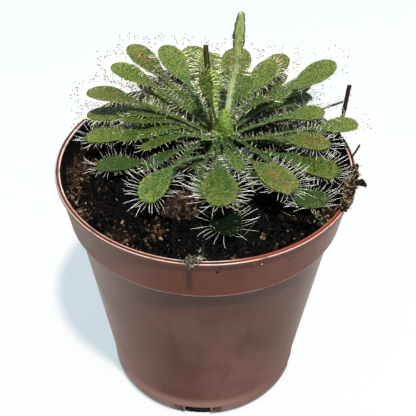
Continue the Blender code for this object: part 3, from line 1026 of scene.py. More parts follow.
@dataclass
class NurseryPot:
    """Injection-moulded nursery pot: grooved lip, collar, tapering body, foot band and drain slots."""

    height: float
    rim_radius: float
    steps: int = 200               # round the pot
    lip_width: float = 1.5
    lip_height: float = 1.0
    groove: float = 0.6            # depth of the groove between the lip's ridges
    collar_top: float = 44.4
    collar_bottom: float = 42.0
    collar_height: float = 15.0
    body_top: float = 40.3
    foot_radius: float = 30.5
    band_radius: float = 31.8
    band_height: float = 5.6
    band_step: float = 0.2         # how far the foot band stands out
    foot_width: float = 1.6
    wall: float = 0.9
    base_under: float = 1.4        # height of the base's underside
    base_top: float = 2.6
    slot_turn: float = -3.0        # in degrees, against the clock
    slot_count: int = 4
    slot_size: tuple[float, float, float] = (8.6, 6.5, 6.1)        # width, depth and height of its cutter
    slot_radius: float = 29.5
    recess_size: tuple[float, float, float] = (5.4, 2.0, 3.9)
    recess_offset: float = 7.6     # from the slot's middle
    recess_bottom: float = 1.1
    recess_depth: float = 0.7

    def profile(self) -> list[tuple[float, float]]:
        """Give the pot's half section.

        Returns:
            Radius and height of each point, from the inside round to the underside.
        """
        shoulder = self.height - self.collar_height
        lip = self.rim_radius - self.lip_width
        top = self.height
        arc = [(lip + 0.12 - 0.12 * math.cos(a), top - 0.12 + 0.12 * math.sin(a))
               for a in (0.0, math.pi / 6, math.pi / 3, math.pi / 2)]
        hollow = [(lip + 0.47 + 0.14 * i, top - self.groove * math.sin(math.pi * i / 4)) for i in range(5)]
        outer = [(self.rim_radius - 0.35 + 0.35 * math.sin(a), top - 0.4 + 0.35 * math.cos(a))
                 for a in (0.0, math.pi / 6, math.pi / 3, math.pi / 2)]
        under = [(self.rim_radius - 0.02, top - self.lip_height + 0.2),
                 (self.rim_radius - 0.2, top - self.lip_height + 0.05), (self.collar_top, top - self.lip_height)]
        inside = [
            (0.0, self.base_top), (self.foot_radius - self.wall - 1.0, self.base_top),
            (self.foot_radius - self.wall - 0.2, self.base_top + 0.4),
            (self.body_top - self.wall - 0.1, shoulder - 2.0), (self.body_top - self.wall + 0.1, shoulder - 1.0),
            (self.collar_bottom - self.wall - 0.2, shoulder + 0.3), (self.collar_bottom - self.wall, shoulder + 1.0),
            (lip, top - self.lip_height)]
        outside = [
            (self.collar_bottom + 0.1, shoulder + 0.75), (self.collar_bottom + 0.12, shoulder + 0.35),
            (self.collar_bottom, shoulder + 0.08), (self.collar_bottom - 0.15, shoulder),
            (self.body_top + 0.04, shoulder), (self.body_top - 0.05, shoulder - 0.3),
            (self.band_radius - self.band_step - 0.04, self.band_height + 0.9),
            (self.band_radius - 0.05, self.band_height + 0.3), (self.band_radius, self.band_height - 0.1),
            (self.band_radius - 0.1, 2.6)]
        foot = [
            (self.foot_radius + 0.1, 0.3), (self.foot_radius - 0.15, 0.0),
            (self.foot_radius - self.foot_width + 0.1, 0.0), (self.foot_radius - self.foot_width, 0.2),
            (self.foot_radius - self.foot_width, self.base_under), (0.0, self.base_under)]
        return inside + arc + hollow + outer + under + outside + foot

    def cutter(self) -> bpy.types.Object:
        """Make the blocks that cut the drain slots and the recesses beside them.

        Returns:
            All the blocks as one object.
        """
        recess_radius = self.band_radius - self.recess_depth + self.recess_size[1] / 2 - 0.9
        blocks = [(self.slot_size, (0.0, -self.slot_radius, (self.slot_size[2] - 2.0) / 2), 0.5)]
        blocks += [(self.recess_size, (side * self.recess_offset, -recess_radius,
                                       self.recess_bottom + self.recess_size[2] / 2), 0.15) for side in (-1, 1)]
        work = bmesh.new()
        for number in range(self.slot_count):
            turn = Matrix.Rotation(math.radians(self.slot_turn + 360.0 * number / self.slot_count), 4, "Z")
            for size, place, edge in blocks:
                shape = turn @ Matrix.Translation(place) @ Matrix.Diagonal((*size, 1.0))
                made = bmesh.ops.create_cube(work, size=1.0, matrix=shape)["verts"]
                edges = list({edge_of for corner in made for edge_of in corner.link_edges})
                bmesh.ops.bevel(work, geom=edges, offset=edge, segments=3, profile=0.5, affect="EDGES", material=-1)
        return put("drain_cutter", mesh_of(work, "drain_cutter"))

    def build(self) -> None:
        """Spin the pot's section, cut its drain slots and dress it."""
        work = spun(self.profile(), self.steps)
        bmesh.ops.recalc_face_normals(work, faces=work.faces[:])
        blank = put("pot_blank", mesh_of(work, "pot_blank"))
        cutter = self.cutter()
        boolean = blank.modifiers.new("drain", "BOOLEAN")
        boolean.operation = "DIFFERENCE"
        boolean.solver = "EXACT"
        boolean.object = cutter
        drained = bpy.data.meshes.new_from_object(blank.evaluated_get(bpy.context.evaluated_depsgraph_get()))
        for item in (blank, cutter):
            bpy.data.objects.remove(item)
        drained.name = "nursery_pot"
        drained.materials.clear()
        add_piece("nursery_pot", drained, (PLASTIC,), "pot_plastic", ("pot",), 35.0)


# ---- peat ------------------------------------------------------------------------------

@dataclass
class Ground:
    """Surface that things are laid on, read from above."""

    tree: BVHTree

    @classmethod
    def of(cls, mesh: bpy.types.Mesh, scale: float) -> Ground:
        """Read a mesh's surface, with the scale giving millimetres for each of its units."""
        corners = [scale * corner.co for corner in mesh.vertices]
        return cls(BVHTree.FromPolygons(corners, [face.vertices[:] for face in mesh.polygons]))

    def read(self, x: float, y: float) -> tuple[float, np.ndarray] | None:
        """Find the surface at a place.

        Args:
            x: Place in millimetres.
            y: Place in millimetres.

        Returns:
            Height and unit normal, or None beside the surface.
        """
        place, normal, _, _ = self.tree.ray_cast(Vector((x, y, 200.0)), Vector((0.0, 0.0, -1.0)))
        if place is None:
            return None
        return place.z, np.array(normal if normal.z > 0 else -normal)


@dataclass(frozen=True)
class Patch:
    """Patch of crumbs and fibres of one finish."""

    place: tuple[float, float]
    spread: tuple[float, float]
    crumbs: int
    size: float                    # of the crumbs
    tint: tuple[float, float]
    finish: Finish
    fibres: int = 0
    length: float = 1.8            # of the fibres
    lean: tuple[float, float, float] = (0.0, 0.0, 0.6)
    height: float | None = None    # None lays it on the peat


# place, spread, crumbs, their size, tint, finish, fibres, their length, lean and height
PATCHES = (
    Patch((-8.2, -15.3), (2.6, 2.0), 70, 0.55, (0.5, 1.0), LOOSE_PEAT, 12),
    Patch((-12.1, -24.3), (1.2, 1.0), 16, 1.0, (0.7, 1.0), LOOSE_PEAT),
    Patch((-15.8, -19.5), (2.6, 1.8), 60, 0.6, (0.35, 0.9), LOOSE_PEAT, 30),
    Patch((-30.0, -8.4), (2.4, 1.6), 36, 0.55, (0.3, 0.8), LOOSE_PEAT, 6),
    Patch((-20.5, -14.1), (2.4, 1.6), 36, 0.55, (0.3, 0.8), LOOSE_PEAT, 4),
    Patch((11.2, -34.0), (2.2, 1.2), 34, 0.6, (0.5, 1.0), LOOSE_PEAT, 6),
    Patch((-32.4, -12.0), (2.4, 4.0), 90, 0.5, (0.4, 0.85), LOOSE_PEAT, 30),
    Patch((-10.1, -33.0), (2.4, 1.4), 40, 0.5, (0.3, 0.9), LOOSE_PEAT, 6),
    Patch((-24.2, -21.7), (2.0, 1.4), 60, 0.42, (0.25, 0.8), MOSS, 20),
    Patch((-25.6, -27.6), (2.0, 1.2), 50, 0.42, (0.3, 0.85), MOSS, 16),
    Patch((-20.0, -31.0), (2.6, 1.2), 60, 0.45, (0.3, 0.9), MOSS, 16),
    Patch((-14.0, -34.5), (2.6, 0.9), 50, 0.42, (0.3, 0.85), MOSS, 16),
    Patch((34.1, -20.9), (2.2, 2.0), 70, 0.75, (0.45, 1.0), MOSS, 10),
    Patch((32.6, -16.2), (1.6, 1.6), 24, 0.6, (0.3, 0.8), MOSS, 8),
    Patch((36.0, -24.5), (1.6, 1.6), 40, 0.7, (0.4, 1.0), MOSS, 8),
    Patch((-42.0, 5.5), (0.6, 5.5), 40, 0.45, (0.3, 0.9), MOSS, 10, 2.4, (0.0, 0.5, 0.8)),
    Patch((-42.4, 8.0), (0.3, 0.8), 0, 0.4, (0.9, 1.0), MOSS, 4, 7.5, (0.5, -6.0, 0.8)),
    Patch((-38.3, 2.5), (1.5, 3.2), 110, 0.85, (0.6, 0.92), LOOSE_PEAT, 150, 3.4),
    Patch((-38.5, -7.0), (1.2, 3.0), 90, 0.8, (0.55, 0.95), MOSS, 70, 2.4),
    Patch((-36.0, -17.0), (1.2, 2.4), 60, 0.7, (0.5, 0.95), MOSS, 40, 2.2),
    Patch((-24.0, -28.5), (3.0, 1.4), 90, 0.7, (0.4, 0.9), LOOSE_PEAT, 50),
    Patch((-15.5, -26.5), (1.6, 1.4), 50, 0.85, (0.4, 0.9), LOOSE_PEAT, 30),
    Patch((12.5, -35.0), (3.0, 1.0), 50, 0.9, (0.4, 0.95), LOOSE_PEAT, 16),
    Patch((22.0, -28.0), (3.0, 2.0), 30, 0.8, (0.2, 0.8), MOSS, 10),
    Patch((34.6, -23.0), (1.2, 1.6), 60, 0.7, (0.3, 1.0), MOSS, 26, 2.0, height=82.3),
    Patch((33.0, -25.5), (1.0, 1.2), 24, 0.6, (0.3, 1.0), PALE_MOSS, 14, 1.8, height=81.8),
    Patch((44.4, -14.4), (0.6, 0.2), 7, 1.6, (0.3, 0.65), MOSS, 4, 2.2, (2.0, -0.5, 0.3), 87.3),
    Patch((-42.2, -2.0), (0.8, 3.0), 24, 0.5, (0.2, 0.8), MOSS, 8),
    Patch((-1.4, -35.6), (1.2, 2.3), 60, 0.5, (0.3, 1.0), PALE_MOSS, 30, 1.7),
    Patch((-2.4, -41.0), (0.8, 1.2), 40, 0.45, (0.4, 1.0), PALE_MOSS, 24, 1.5, (0.0, -0.5, 0.9)),
    Patch((-3.2, -44.6), (0.5, 0.2), 20, 0.45, (0.4, 1.0), PALE_MOSS, 8, 1.5, (0.0, -0.6, -1.0), 83.6),
    Patch((-0.3, -21.5), (1.2, 0.9), 16, 0.4, (0.3, 0.8), PALE_MOSS, 12),
    Patch((4.2, -44.3), (0.3, 0.05), 3, 0.4, (0.0, 0.2), MOSS, height=82.0),
    Patch((3.8, -43.9), (0.2, 0.05), 3, 0.4, (0.0, 0.1), MOSS, height=80.6),
    Patch((15.1, -41.7), (0.1, 0.02), 2, 0.6, (0.9, 1.0), PALE_MOSS, height=81.4),
    Patch((13.0, -42.9), (0.3, 0.05), 3, 0.4, (0.6, 1.0), MOSS, height=82.8),
    Patch((23.0, -37.6), (0.5, 0.3), 2, 0.4, (0.5, 0.9), PALE_MOSS, 4, 1.6, (2.0, 1.2, 0.5), 79.2),
    Patch((25.0, -36.3), (0.3, 0.2), 2, 0.4, (0.7, 1.0), PALE_MOSS, 3, 1.4, (2.0, 1.4, 0.5), 79.4),
    Patch((31.1, -30.0), (0.1, 0.1), 2, 0.5, (0.9, 1.0), LOOSE_PEAT, height=75.3),
)


def lay_crumbs(heap: Heap, stamp: Stamp, spots: np.ndarray, sizes: np.ndarray, tints: np.ndarray,
               draw: np.random.Generator) -> None:
    """Lay flattened, tumbled crumbs of one shape.

    Args:
        heap: Mesh that gets them.
        stamp: Their shape.
        spots: Their places.
        sizes: Their radii.
        tints: Their colour values.
        draw: Random numbers.
    """
    many = len(spots)
    axes = unit(draw.normal(size=(many, 3)) * (1.0, 1.0, 0.6))
    flattening = np.stack((np.ones(many), 0.35 + 0.6 * draw.random(many), 0.3 + 0.5 * draw.random(many)), axis=1)
    places = spots + UP * (0.25 * sizes)[:, None]
    copies = turned_copies(stamp, places, axes, sizes[:, None] * flattening, 6.3 * draw.random(many))
    heap.add(stamp, copies, tints[:, None])


@dataclass
class PeatBed:
    """Peat in the pot: a lumpy surface over the CAD soil, strewn with crumbs and fibres."""

    node: bpy.types.Object
    pot: NurseryPot
    crown: tuple[float, float]
    seed: int = 11
    spokes: int = 240
    rings: int = 66
    crumb_count: int = 3600
    fibre_count: int = 130
    level: float = 77.0            # height where the peat meets the wall
    skirt: float = -8.0            # height that marks the underside until it is moved to the shoulder

    def wall_radius(self, height: float) -> float:
        """Give the radius of the pot's inside.

        Args:
            height: Height above the pot's foot, in millimetres.

        Returns:
            Radius in millimetres.
        """
        shoulder = self.pot.height - self.pot.collar_height
        share = (height - shoulder) / self.pot.collar_height
        bottom = self.pot.collar_bottom - self.pot.wall
        return bottom + max(share, 0.0) * (self.pot.rim_radius - self.pot.lip_width - bottom)

    def surface(self) -> bpy.types.Mesh:
        """Model the lumpy surface.

        Returns:
            The surface, closed below.
        """
        solid = Ground.of(self.node.data, 1 / MM)
        inside = self.wall_radius(self.level) - 0.15
        floor = self.pot.height - self.pot.collar_height + 1.5
        section = [(inside * (i / self.rings), 0.0) for i in range(self.rings + 1)]
        work = spun(section + [(inside, self.skirt), (0.0, self.skirt)], self.spokes)
        points = points_of(work)
        hills, lumps, grit = rough(points, 7.0, 3, 3.1), rough(points, 2.6, 3, 8.7), rough(points, 1.0, 2, 5.3)
        bumps = 1.5 * hills + 1.7 * lumps + 0.8 * grit
        under = points[:, 2] < self.skirt / 2
        for point, bump, closing in zip(points, bumps, under):
            if closing:
                point[:2] *= min(1.0, (self.wall_radius(floor) - 0.3) / max(math.hypot(*point[:2]), 1.0))
                point[2] = floor
                continue
            x, y = point[:2] * 0.995
            found = solid.read(x, y) or solid.read(0.985 * x, 0.985 * y)
            height = found[0] if found else self.level
            if math.hypot(x - self.crown[0], y - self.crown[1]) < 5.0:     # the solid has a well for the root
                height = max(height, self.level - 0.2)
            point[2] = min(height + bump, self.pot.height - 0.3)
        move_points(work, points)
        mark(work, tint=np.where(under, 0.0, 0.12 + 0.3 * hills + 0.25 * lumps))
        bmesh.ops.recalc_face_normals(work, faces=work.faces[:])
        return mesh_of(work, "peat_bed")

    def build(self) -> Ground:
        """Model and dress the bed, and strew it.

        Returns:
            The bed's surface.
        """
        mesh = self.surface()
        ground = Ground.of(mesh, 1.0)
        add_piece("peat_bed", mesh, (PEAT,), "peat", ("soil",), 40.0)
        self.strew(ground)
        self.dark_slot_plugs()
        for finish in (LOOSE_PEAT, MOSS, PALE_MOSS):
            self.litter(ground, finish)
        return ground

    def litter(self, ground: Ground, finish: Finish) -> None:
        """Lay the patches of one finish.

        Args:
            ground: The bed's surface.
            finish: The finish.
        """
        draw = np.random.default_rng(self.seed + len(finish.name))
        heap = Heap("tint")
        stamps = [Stamp.crumb(1, 4.4), Stamp.crumb(2, 8.1)]
        rod = Stamp.rod(4, 5, 0.4)
        for patch in (patch for patch in PATCHES if patch.finish is finish):
            many = patch.crumbs + patch.fibres
            spots = np.array((*patch.place, 0.0)) + draw.normal(size=(many, 3)) * (*patch.spread, 0.0)
            for spot in spots:
                if patch.height is None:
                    spot[:2] *= min(1.0, (self.wall_radius(self.level) - 0.4) / math.hypot(*spot[:2]))
                    spot[2] = ground.read(*spot[:2])[0]
                else:
                    spot[2] = patch.height + 0.25 * draw.normal()
            low, high = patch.tint
            tints = low + (high - low) * draw.random(many) ** 2
            sizes = patch.size * (0.4 + 0.8 * draw.random(many) ** 2)
            for kind, stamp in enumerate(stamps):
                mine = slice(kind, patch.crumbs, 2)
                lay_crumbs(heap, stamp, spots[mine], sizes[mine], tints[mine], draw)
            if patch.fibres:
                aheads = unit(draw.normal(size=(patch.fibres, 3)) + patch.lean)
                bends = 0.3 * draw.normal(size=(patch.fibres, 3))
                lengths = patch.length * (0.4 + 0.8 * draw.random(patch.fibres))
                radii = 0.06 + 0.08 * draw.random(patch.fibres)
                copies = bent_rods(rod, spots[patch.crumbs:], aheads, bends, lengths, radii)
                heap.add(rod, copies, tints[patch.crumbs:, None])
        add_piece(f"litter_{finish.name}", heap.mesh(finish.name), (finish,), "moss_fibre", (), 25.0)

    def dark_slot_plugs(self) -> None:
        """Fill the drain slots with the darkest peat: peat seen through them, and painted shade under the pot."""
        wide, _, high = self.pot.slot_size
        size = (wide - 0.06, 3.0, high - 1.0)
        inward = size[1] / 2 - self.pot.slot_radius - 1.9
        work = bmesh.new()
        for number in range(self.pot.slot_count):
            turn = Matrix.Rotation(math.radians(self.pot.slot_turn + 360.0 * number / self.pot.slot_count), 4, "Z")
            place = Matrix.Translation((0.0, inward, 0.04 + size[2] / 2))
            bmesh.ops.create_cube(work, size=1.0, matrix=turn @ place @ Matrix.Diagonal((*size, 1.0)))
        bmesh.ops.subdivide_edges(work, edges=work.edges[:], cuts=9, use_grid_fill=True)
        points = points_of(work)
        radius = np.hypot(points[:, 0], points[:, 1])
        wall = self.pot.foot_radius - 0.4 + 0.2 * points[:, 2]
        reach = np.minimum(radius, wall) - 0.15 * (1 + rough(points, 1.2, 2, 7.0))
        points[:, :2] *= (reach / radius)[:, None]
        move_points(work, points)
        # darkest tint: painted shade under the pot
        mark(work, tint=np.zeros(len(points)))
        add_piece("drain_peat_and_shade", work, (PEAT,), "peat")

    def strew(self, ground: Ground) -> None:
        """Lay crumbs and fibres on the bed.

        Args:
            ground: The bed's surface.
        """
        draw = np.random.default_rng(self.seed)
        small = [Stamp.crumb(1, seed) for seed in (0.3, 1.9, 4.2, 7.7)]
        large = [Stamp.crumb(2, seed) for seed in (2.3, 5.9, 9.1)]
        heap = Heap("tint")
        spots = self.spots(ground, draw, self.crumb_count)
        sizes = 0.22 + 0.42 * draw.random(len(spots)) ** 2.2
        big = draw.random(len(spots)) < 0.12
        sizes[big] = 0.7 + 0.9 * draw.random(int(big.sum()))
        tints = np.clip(0.05 + 0.8 * draw.random(len(spots)) ** 4.0, 0.0, 0.95)
        tints[draw.random(len(spots)) < 0.03] = 1.0
        kinds = draw.integers(0, 100, len(spots))
        for group, stamps in ((~big, small), (big, large)):
            for kind, stamp in enumerate(stamps):
                chosen = group & (kinds % len(stamps) == kind)
                lay_crumbs(heap, stamp, spots[chosen], sizes[chosen], tints[chosen], draw)
        add_piece("peat_crumbs", heap.mesh("peat_crumbs"), (PEAT,), "peat", (), 25.0)
        self.lay_fibres(ground, draw)

    def spots(self, ground: Ground, draw: np.random.Generator, count: int) -> np.ndarray:
        """Choose places on the bed.

        Args:
            ground: The bed's surface.
            draw: Random numbers.
            count: Number of tries.

        Returns:
            The places that are on the bed.
        """
        radius = (self.wall_radius(self.level) - 0.8) * np.sqrt(draw.random(count))
        angle = 2 * math.pi * draw.random(count)
        found = []
        for x, y in zip(radius * np.cos(angle), radius * np.sin(angle)):
            hit = ground.read(x, y)
            if hit and math.hypot(x - self.crown[0], y - self.crown[1]) > 3.0:
                found.append((x, y, hit[0]))
        return np.array(found)

    def lay_fibres(self, ground: Ground, draw: np.random.Generator) -> None:
        """Lay thin peat fibres on the bed.

        Args:
            ground: The bed's surface.
            draw: Random numbers.
        """
        heap = Heap("tint")
        rod = Stamp.rod(4, 5, 0.5)
        spots = self.spots(ground, draw, self.fibre_count)
        many = len(spots)
        aheads = unit(draw.normal(size=(many, 3)) * (1.0, 1.0, 0.22) + (0.0, 0.0, 0.18))
        bends = draw.normal(size=(many, 3)) * (0.28, 0.28, 0.05) - (0.0, 0.0, 0.12)
        lengths = 1.5 + 4.5 * draw.random(many) ** 1.5
        reach = self.wall_radius(self.level) - 0.5
        tips = spots + lengths[:, None] * (aheads + bends)
        over = np.hypot(tips[:, 0], tips[:, 1]) > reach
        aheads[over, :2] *= -1
        bends[over, :2] *= -1
        tints = 0.35 + 0.5 * draw.random(many)
        copies = bent_rods(rod, spots + UP * 0.3, aheads, bends, lengths, 0.07 + 0.11 * draw.random(many))
        heap.add(rod, copies, tints[:, None])
        add_piece("peat_fibres", heap.mesh("peat_fibres"), (PEAT,), "moss_fibre")


@dataclass
class CrumbLump:
    """Loose lump of peat, bark or moss: a rough core under crumbs and fibres."""

    node: bpy.types.Object
    finish: Finish
    slot: str
    seed: int
    crumbs: int
    fibres: int
    crumb_size: float
    fibre_length: float
    tint: tuple[float, float] = (0.1, 0.9)
    squeeze: tuple[float, float] = (1.0, 1.0)      # across and upwards, for a lump that lies along the rim
    lean: tuple[float, float, float] = (0.0, 0.0, 0.0)
    taper: float = 0.0             # how much thinner its far end is

    def core(self) -> bmesh.types.BMesh:
        """Model the rough core from the CAD lump.

        Returns:
            The core.
        """
        work = refined(self.node, 2)
        bmesh.ops.triangulate(work, faces=work.faces[:])
        work.normal_update()
        points = points_of(work)
        normals = np.array([corner.normal[:] for corner in work.verts])
        bumps = 0.55 * rough(points, 1.6, 3, self.seed)
        middle = points.mean(axis=0)
        out = unit(middle * (1.0, 1.0, 0.0))
        across, upward = (points - middle) @ out, (points - middle) @ UP
        before = across
        far = ramp(points[:, 1] - middle[1], 0.0, 8.0)
        across = across * (1.0 - self.taper * far) - 1.2 * self.taper * far
        sideways, higher = across * self.squeeze[0] - before, upward * (self.squeeze[1] - 1)
        squeezed = points + np.outer(sideways, out) + np.outer(higher, UP)
        move_points(work, squeezed + normals * bumps[:, None])
        work.normal_update()
        low, high = self.tint
        mark(work, tint=low + (high - low) * (0.35 + 0.4 * bumps))
        return work

    def build(self) -> None:
        """Model the lump and dress it."""
        draw = np.random.default_rng(self.seed)
        core = self.core()
        faces = [face for face in core.faces if face.normal.z > -0.2]
        areas = np.array([face.calc_area() for face in faces])
        chosen = draw.choice(len(faces), self.crumbs + self.fibres, p=areas / areas.sum())
        spots = np.array([faces[i].calc_center_median()[:] for i in chosen])
        normals = np.array([faces[i].normal[:] for i in chosen])
        add_piece(f"{self.node.name}_core", core, (self.finish,), self.slot, (self.node.name,), 30.0)
        heap = Heap("tint")
        low, high = self.tint
        stamps = [Stamp.crumb(1, 3.0 + self.seed), Stamp.crumb(2, 6.0 + self.seed), Stamp.crumb(1, 9.5 + self.seed)]
        kinds = draw.integers(0, len(stamps), self.crumbs)
        sizes = self.crumb_size * (0.35 + 0.9 * draw.random(self.crumbs) ** 1.6)
        tints = low + (high - low) * draw.random(self.crumbs) ** 1.4
        for kind, stamp in enumerate(stamps):
            mine = kinds == kind
            lay_crumbs(heap, stamp, spots[:self.crumbs][mine], sizes[mine], tints[mine], draw)
        rod = Stamp.rod(4, 5, 0.4)
        aheads = unit(normals[self.crumbs:] + self.lean + 0.9 * draw.normal(size=(self.fibres, 3)))
        bends = 0.35 * draw.normal(size=(self.fibres, 3))
        lengths = self.fibre_length * (0.4 + 0.8 * draw.random(self.fibres))
        copies = bent_rods(rod, spots[self.crumbs:], aheads, bends, lengths, 0.07 + 0.12 * draw.random(self.fibres))
        heap.add(rod, copies, np.clip(high * (0.6 + 0.5 * draw.random(self.fibres)), 0, 1)[:, None])
        add_piece(f"{self.node.name}_crumbs", heap.mesh(self.node.name), (self.finish,), self.slot, (), 25.0)


# ---- plant -----------------------------------------------------------------------------

@dataclass
class StemCrown:
    """Short stem at the rosette's middle, with the furled young leaf on it."""

    node: bpy.types.Object
    axis: tuple[float, float]
    finish: Finish
    sheath_radius: float = 2.9
    sheath_height: float = 13.0
    sheath_offset: tuple[float, float, float] = (0.9, -0.6, 0.5)

    def build(self) -> None:
        """Model the stem and dress it."""
        work = refined(self.node, 3)
        work.normal_update()
        points = points_of(work)
        normals = np.array([corner.normal[:] for corner in work.verts])
        ribs = 0.3 * rough(points * (1.0, 1.0, 0.35), 1.5, 2, 1.0)
        move_points(work, points + normals * ribs[:, None])
        top = points[:, 2].max()
        mark(work, along=np.full(len(points), 0.5), across=np.zeros(len(points)),
             breadth=np.clip(0.4 + (points[:, 2] - top + 6.0) / 12.0, 0.3, 0.9))
        add_piece("stem_crown", work, (self.finish,), "crown_green", (self.node.name,))
        self.sheath(top)

    def sheath(self, top: float) -> None:
        """Model the furled young leaf that still wraps the foot of the flower stalk.

        Args:
            top: Height of the stem's top.
        """
        work = bmesh.new()
        bmesh.ops.create_uvsphere(work, u_segments=28, v_segments=36, radius=1.0)
        ball = points_of(work)
        share = 0.5 + 0.5 * ball[:, 2]
        turn = np.arctan2(ball[:, 1], ball[:, 0])
        fold = 1.0 + 0.16 * np.cos(2 * turn + 3.5 * share) + 0.08 * rough(ball, 0.5, 2, 6.0)
        girth = self.sheath_radius * np.sin(np.pi * np.clip(share, 0, 1) ** 1.1) ** 0.4 * (1.0 - 0.1 * share) * fold
        foot = np.array((*self.axis, top - self.sheath_height / 2)) + self.sheath_offset
        points = foot + np.stack((np.cos(turn) * girth, np.sin(turn) * girth, share * self.sheath_height), axis=1)
        move_points(work, points)
        mark(work, along=share, across=np.cos(2 * turn), breadth=0.22 + 0.2 * share)
        bmesh.ops.recalc_face_normals(work, faces=work.faces[:])
        add_piece("furled_leaf", work, (LeafAgeAndLight.YOUNG.value,), "crown_green", (), 80.0)


@dataclass
class SundewLeaf:
    """One spoon-shaped leaf, shaped on its course."""

    name: str
    seed: int
    spine: Spine
    age: LeafAgeAndLight
    nodes: tuple[str, ...] = ()    # CAD nodes that it stands for
    sides: int = 18
    rings: int = 46
    petiole_depth: float = 0.85
    blade_depth: float = 0.62
    slimming: float = 1.35         # power that slims the shoulder
    bluntness: float = 0.75        # power that blunts the tip
    cup: float = field(init=False)         # depth of the blade's hollow, as a share of its width
    wave: float = field(init=False)        # height of its ripples, in mm
    wave_seed: float = field(init=False)
    widest: float = field(init=False)      # the blade's full width, in mm

    def __post_init__(self) -> None:
        """Draw the leaf's own numbers, and find how wide it is."""
        draw = random.Random(700 + self.seed)
        self.cup = draw.uniform(0.02, 0.1)
        self.wave = draw.uniform(0.1, 0.22)
        self.wave_seed = draw.uniform(0.0, 50.0)
        self.widest = float(self.spine.widths.max())

    def breadths(self, widths: np.ndarray) -> np.ndarray:
        """Share of the leaf's full width."""
        return widths / self.widest

    @staticmethod
    def closing(share: np.ndarray) -> np.ndarray:
        """Rounding of the very tip: 1 along the leaf, and 0 where it ends."""
        return ramp(share, 1.0, 0.988) ** 0.5

    def course(self, share: np.ndarray) -> tuple[np.ndarray, np.ndarray, np.ndarray, np.ndarray, np.ndarray]:
        """Read the leaf's course, with a slimmer shoulder and a blunter tip than the solid's.

        Args:
            share: Shares of the length.

        Returns:
            Middles, unit directions ahead, unit sides, unit ups and widths.
        """
        middles, aheads, sides, ups, widths = self.spine.read(share)
        breadth = self.breadths(widths)
        beyond = share > self.spine.shares[np.argmax(self.spine.widths)]
        breadth = np.where(beyond, breadth ** self.bluntness, np.maximum(breadth ** self.slimming, 0.17))
        return middles, aheads, sides, ups, breadth * self.widest

    def build(self) -> None:
        """Model the leaf and dress it."""
        work, share, turn, poles = ball_blank(self.sides, self.rings)
        share = 1.0 - (1.0 - share) ** 1.3         # the rings crowd towards the tip
        middles, aheads, sides, ups, widths = self.course(share)
        breadth = self.breadths(widths)
        across = np.cos(turn)
        depth = self.petiole_depth + (self.blade_depth - self.petiole_depth) * np.clip(2.2 * breadth - 0.6, 0, 1)
        half = np.where(poles, 0.0, widths / 2 * self.closing(share))
        depth = np.minimum(depth, 1.6 * np.maximum(half, 0.05))
        rise = np.sign(np.sin(turn)) * np.abs(np.sin(turn)) ** 0.85 * depth / 2
        blade = ramp(breadth, 0.35, 0.75)          # 0 on the petiole, 1 on the blade
        rise = rise + blade * self.cup * widths * (across ** 2 - 0.45)
        points = middles + sides * (half * across)[:, None] + ups * np.where(poles, 0.0, rise)[:, None]
        ripple = rough(points, 2.4, 2, self.wave_seed) * self.wave * (0.25 + 0.75 * blade)
        points = points + ups * np.where(poles, 0.0, ripple)[:, None]
        ragged = 0.12 * rough(points, 0.8, 1, self.wave_seed + 9) * np.abs(across) ** 3
        points = points + sides * (np.sign(across) * ragged)[:, None]
        points[poles & (share > 0.5)] += 0.06 * aheads[poles & (share > 0.5)]
        move_points(work, points)
        mark(work, along=share, across=across, breadth=breadth)
        bmesh.ops.recalc_face_normals(work, faces=work.faces[:])
        slot = "leaf_shaded" if self.age in (LeafAgeAndLight.SHADED, LeafAgeAndLight.DEEP) else "leaf_green"
        add_piece(f"sundew_{self.name}", work, (self.age.value,), slot, self.nodes, 80.0)

    def margin(self, from_share: float) -> tuple[np.ndarray, np.ndarray, np.ndarray, np.ndarray, np.ndarray]:
        """Walk round the leaf's edge, out on one side and back on the other.

        Args:
            from_share: Share of the length where the walk starts.

        Returns:
            Points, outward and up directions, shares of the length, and the distance walked.
        """
        steps = np.linspace(0.0, 1.0, 260)
        out = 1.0 - (1.0 - from_share) * (1.0 - steps) ** 1.8
        share = np.concatenate((out, out[::-1]))
        sign = np.concatenate((np.ones(len(out)), -np.ones(len(out))))
        middles, aheads, sides, ups, widths = self.course(share)
        edge = middles + sides * (sign * self.closing(share) * widths / 2)[:, None]
        walk = unit(np.gradient(edge, axis=0))
        outward = unit(np.cross(walk, ups))
        outward *= np.sign(np.sum(outward * sides, axis=1) * sign + 0.6 * np.sum(outward * aheads, axis=1))[:, None]
        return edge, outward, ups, share, walked(edge)


@dataclass(frozen=True)
class InnerLeaf:
    """Place of a smaller leaf between the rosette's tiers, from the crown's axis."""

    turn: float                    # direction from above, in degrees from the right, against the clock
    reach: float
    height: float                  # of its tip
    width: float = 7.5
    lift: float = 3.0
    roll: float = 0.0              # in degrees
    age: LeafAgeAndLight = LeafAgeAndLight.SUNLIT
    start_height: float = 87.5
    start_reach: float = 1.8
    petiole: float = 1.5           # its width

    def leaf(self, number: int, axis: tuple[float, float]) -> SundewLeaf:
        """Give the leaf, ready to build.

        Args:
            number: Its number among the inner leaves.
            axis: The crown's axis.

        Returns:
            The leaf.
        """
        turn = math.radians(self.turn)
        out = np.array((math.cos(turn), math.sin(turn), 0.0))
        stem = np.array((*axis, 0.0))
        start = stem + out * self.start_reach + UP * self.start_height
        tip = stem + out * self.reach + UP * self.height
        spine = Spine.arched(start, tip, self.lift, (self.petiole, self.width), math.radians(self.roll))
        return SundewLeaf(f"inner_{number:02d}", 60 + number, spine, self.age)
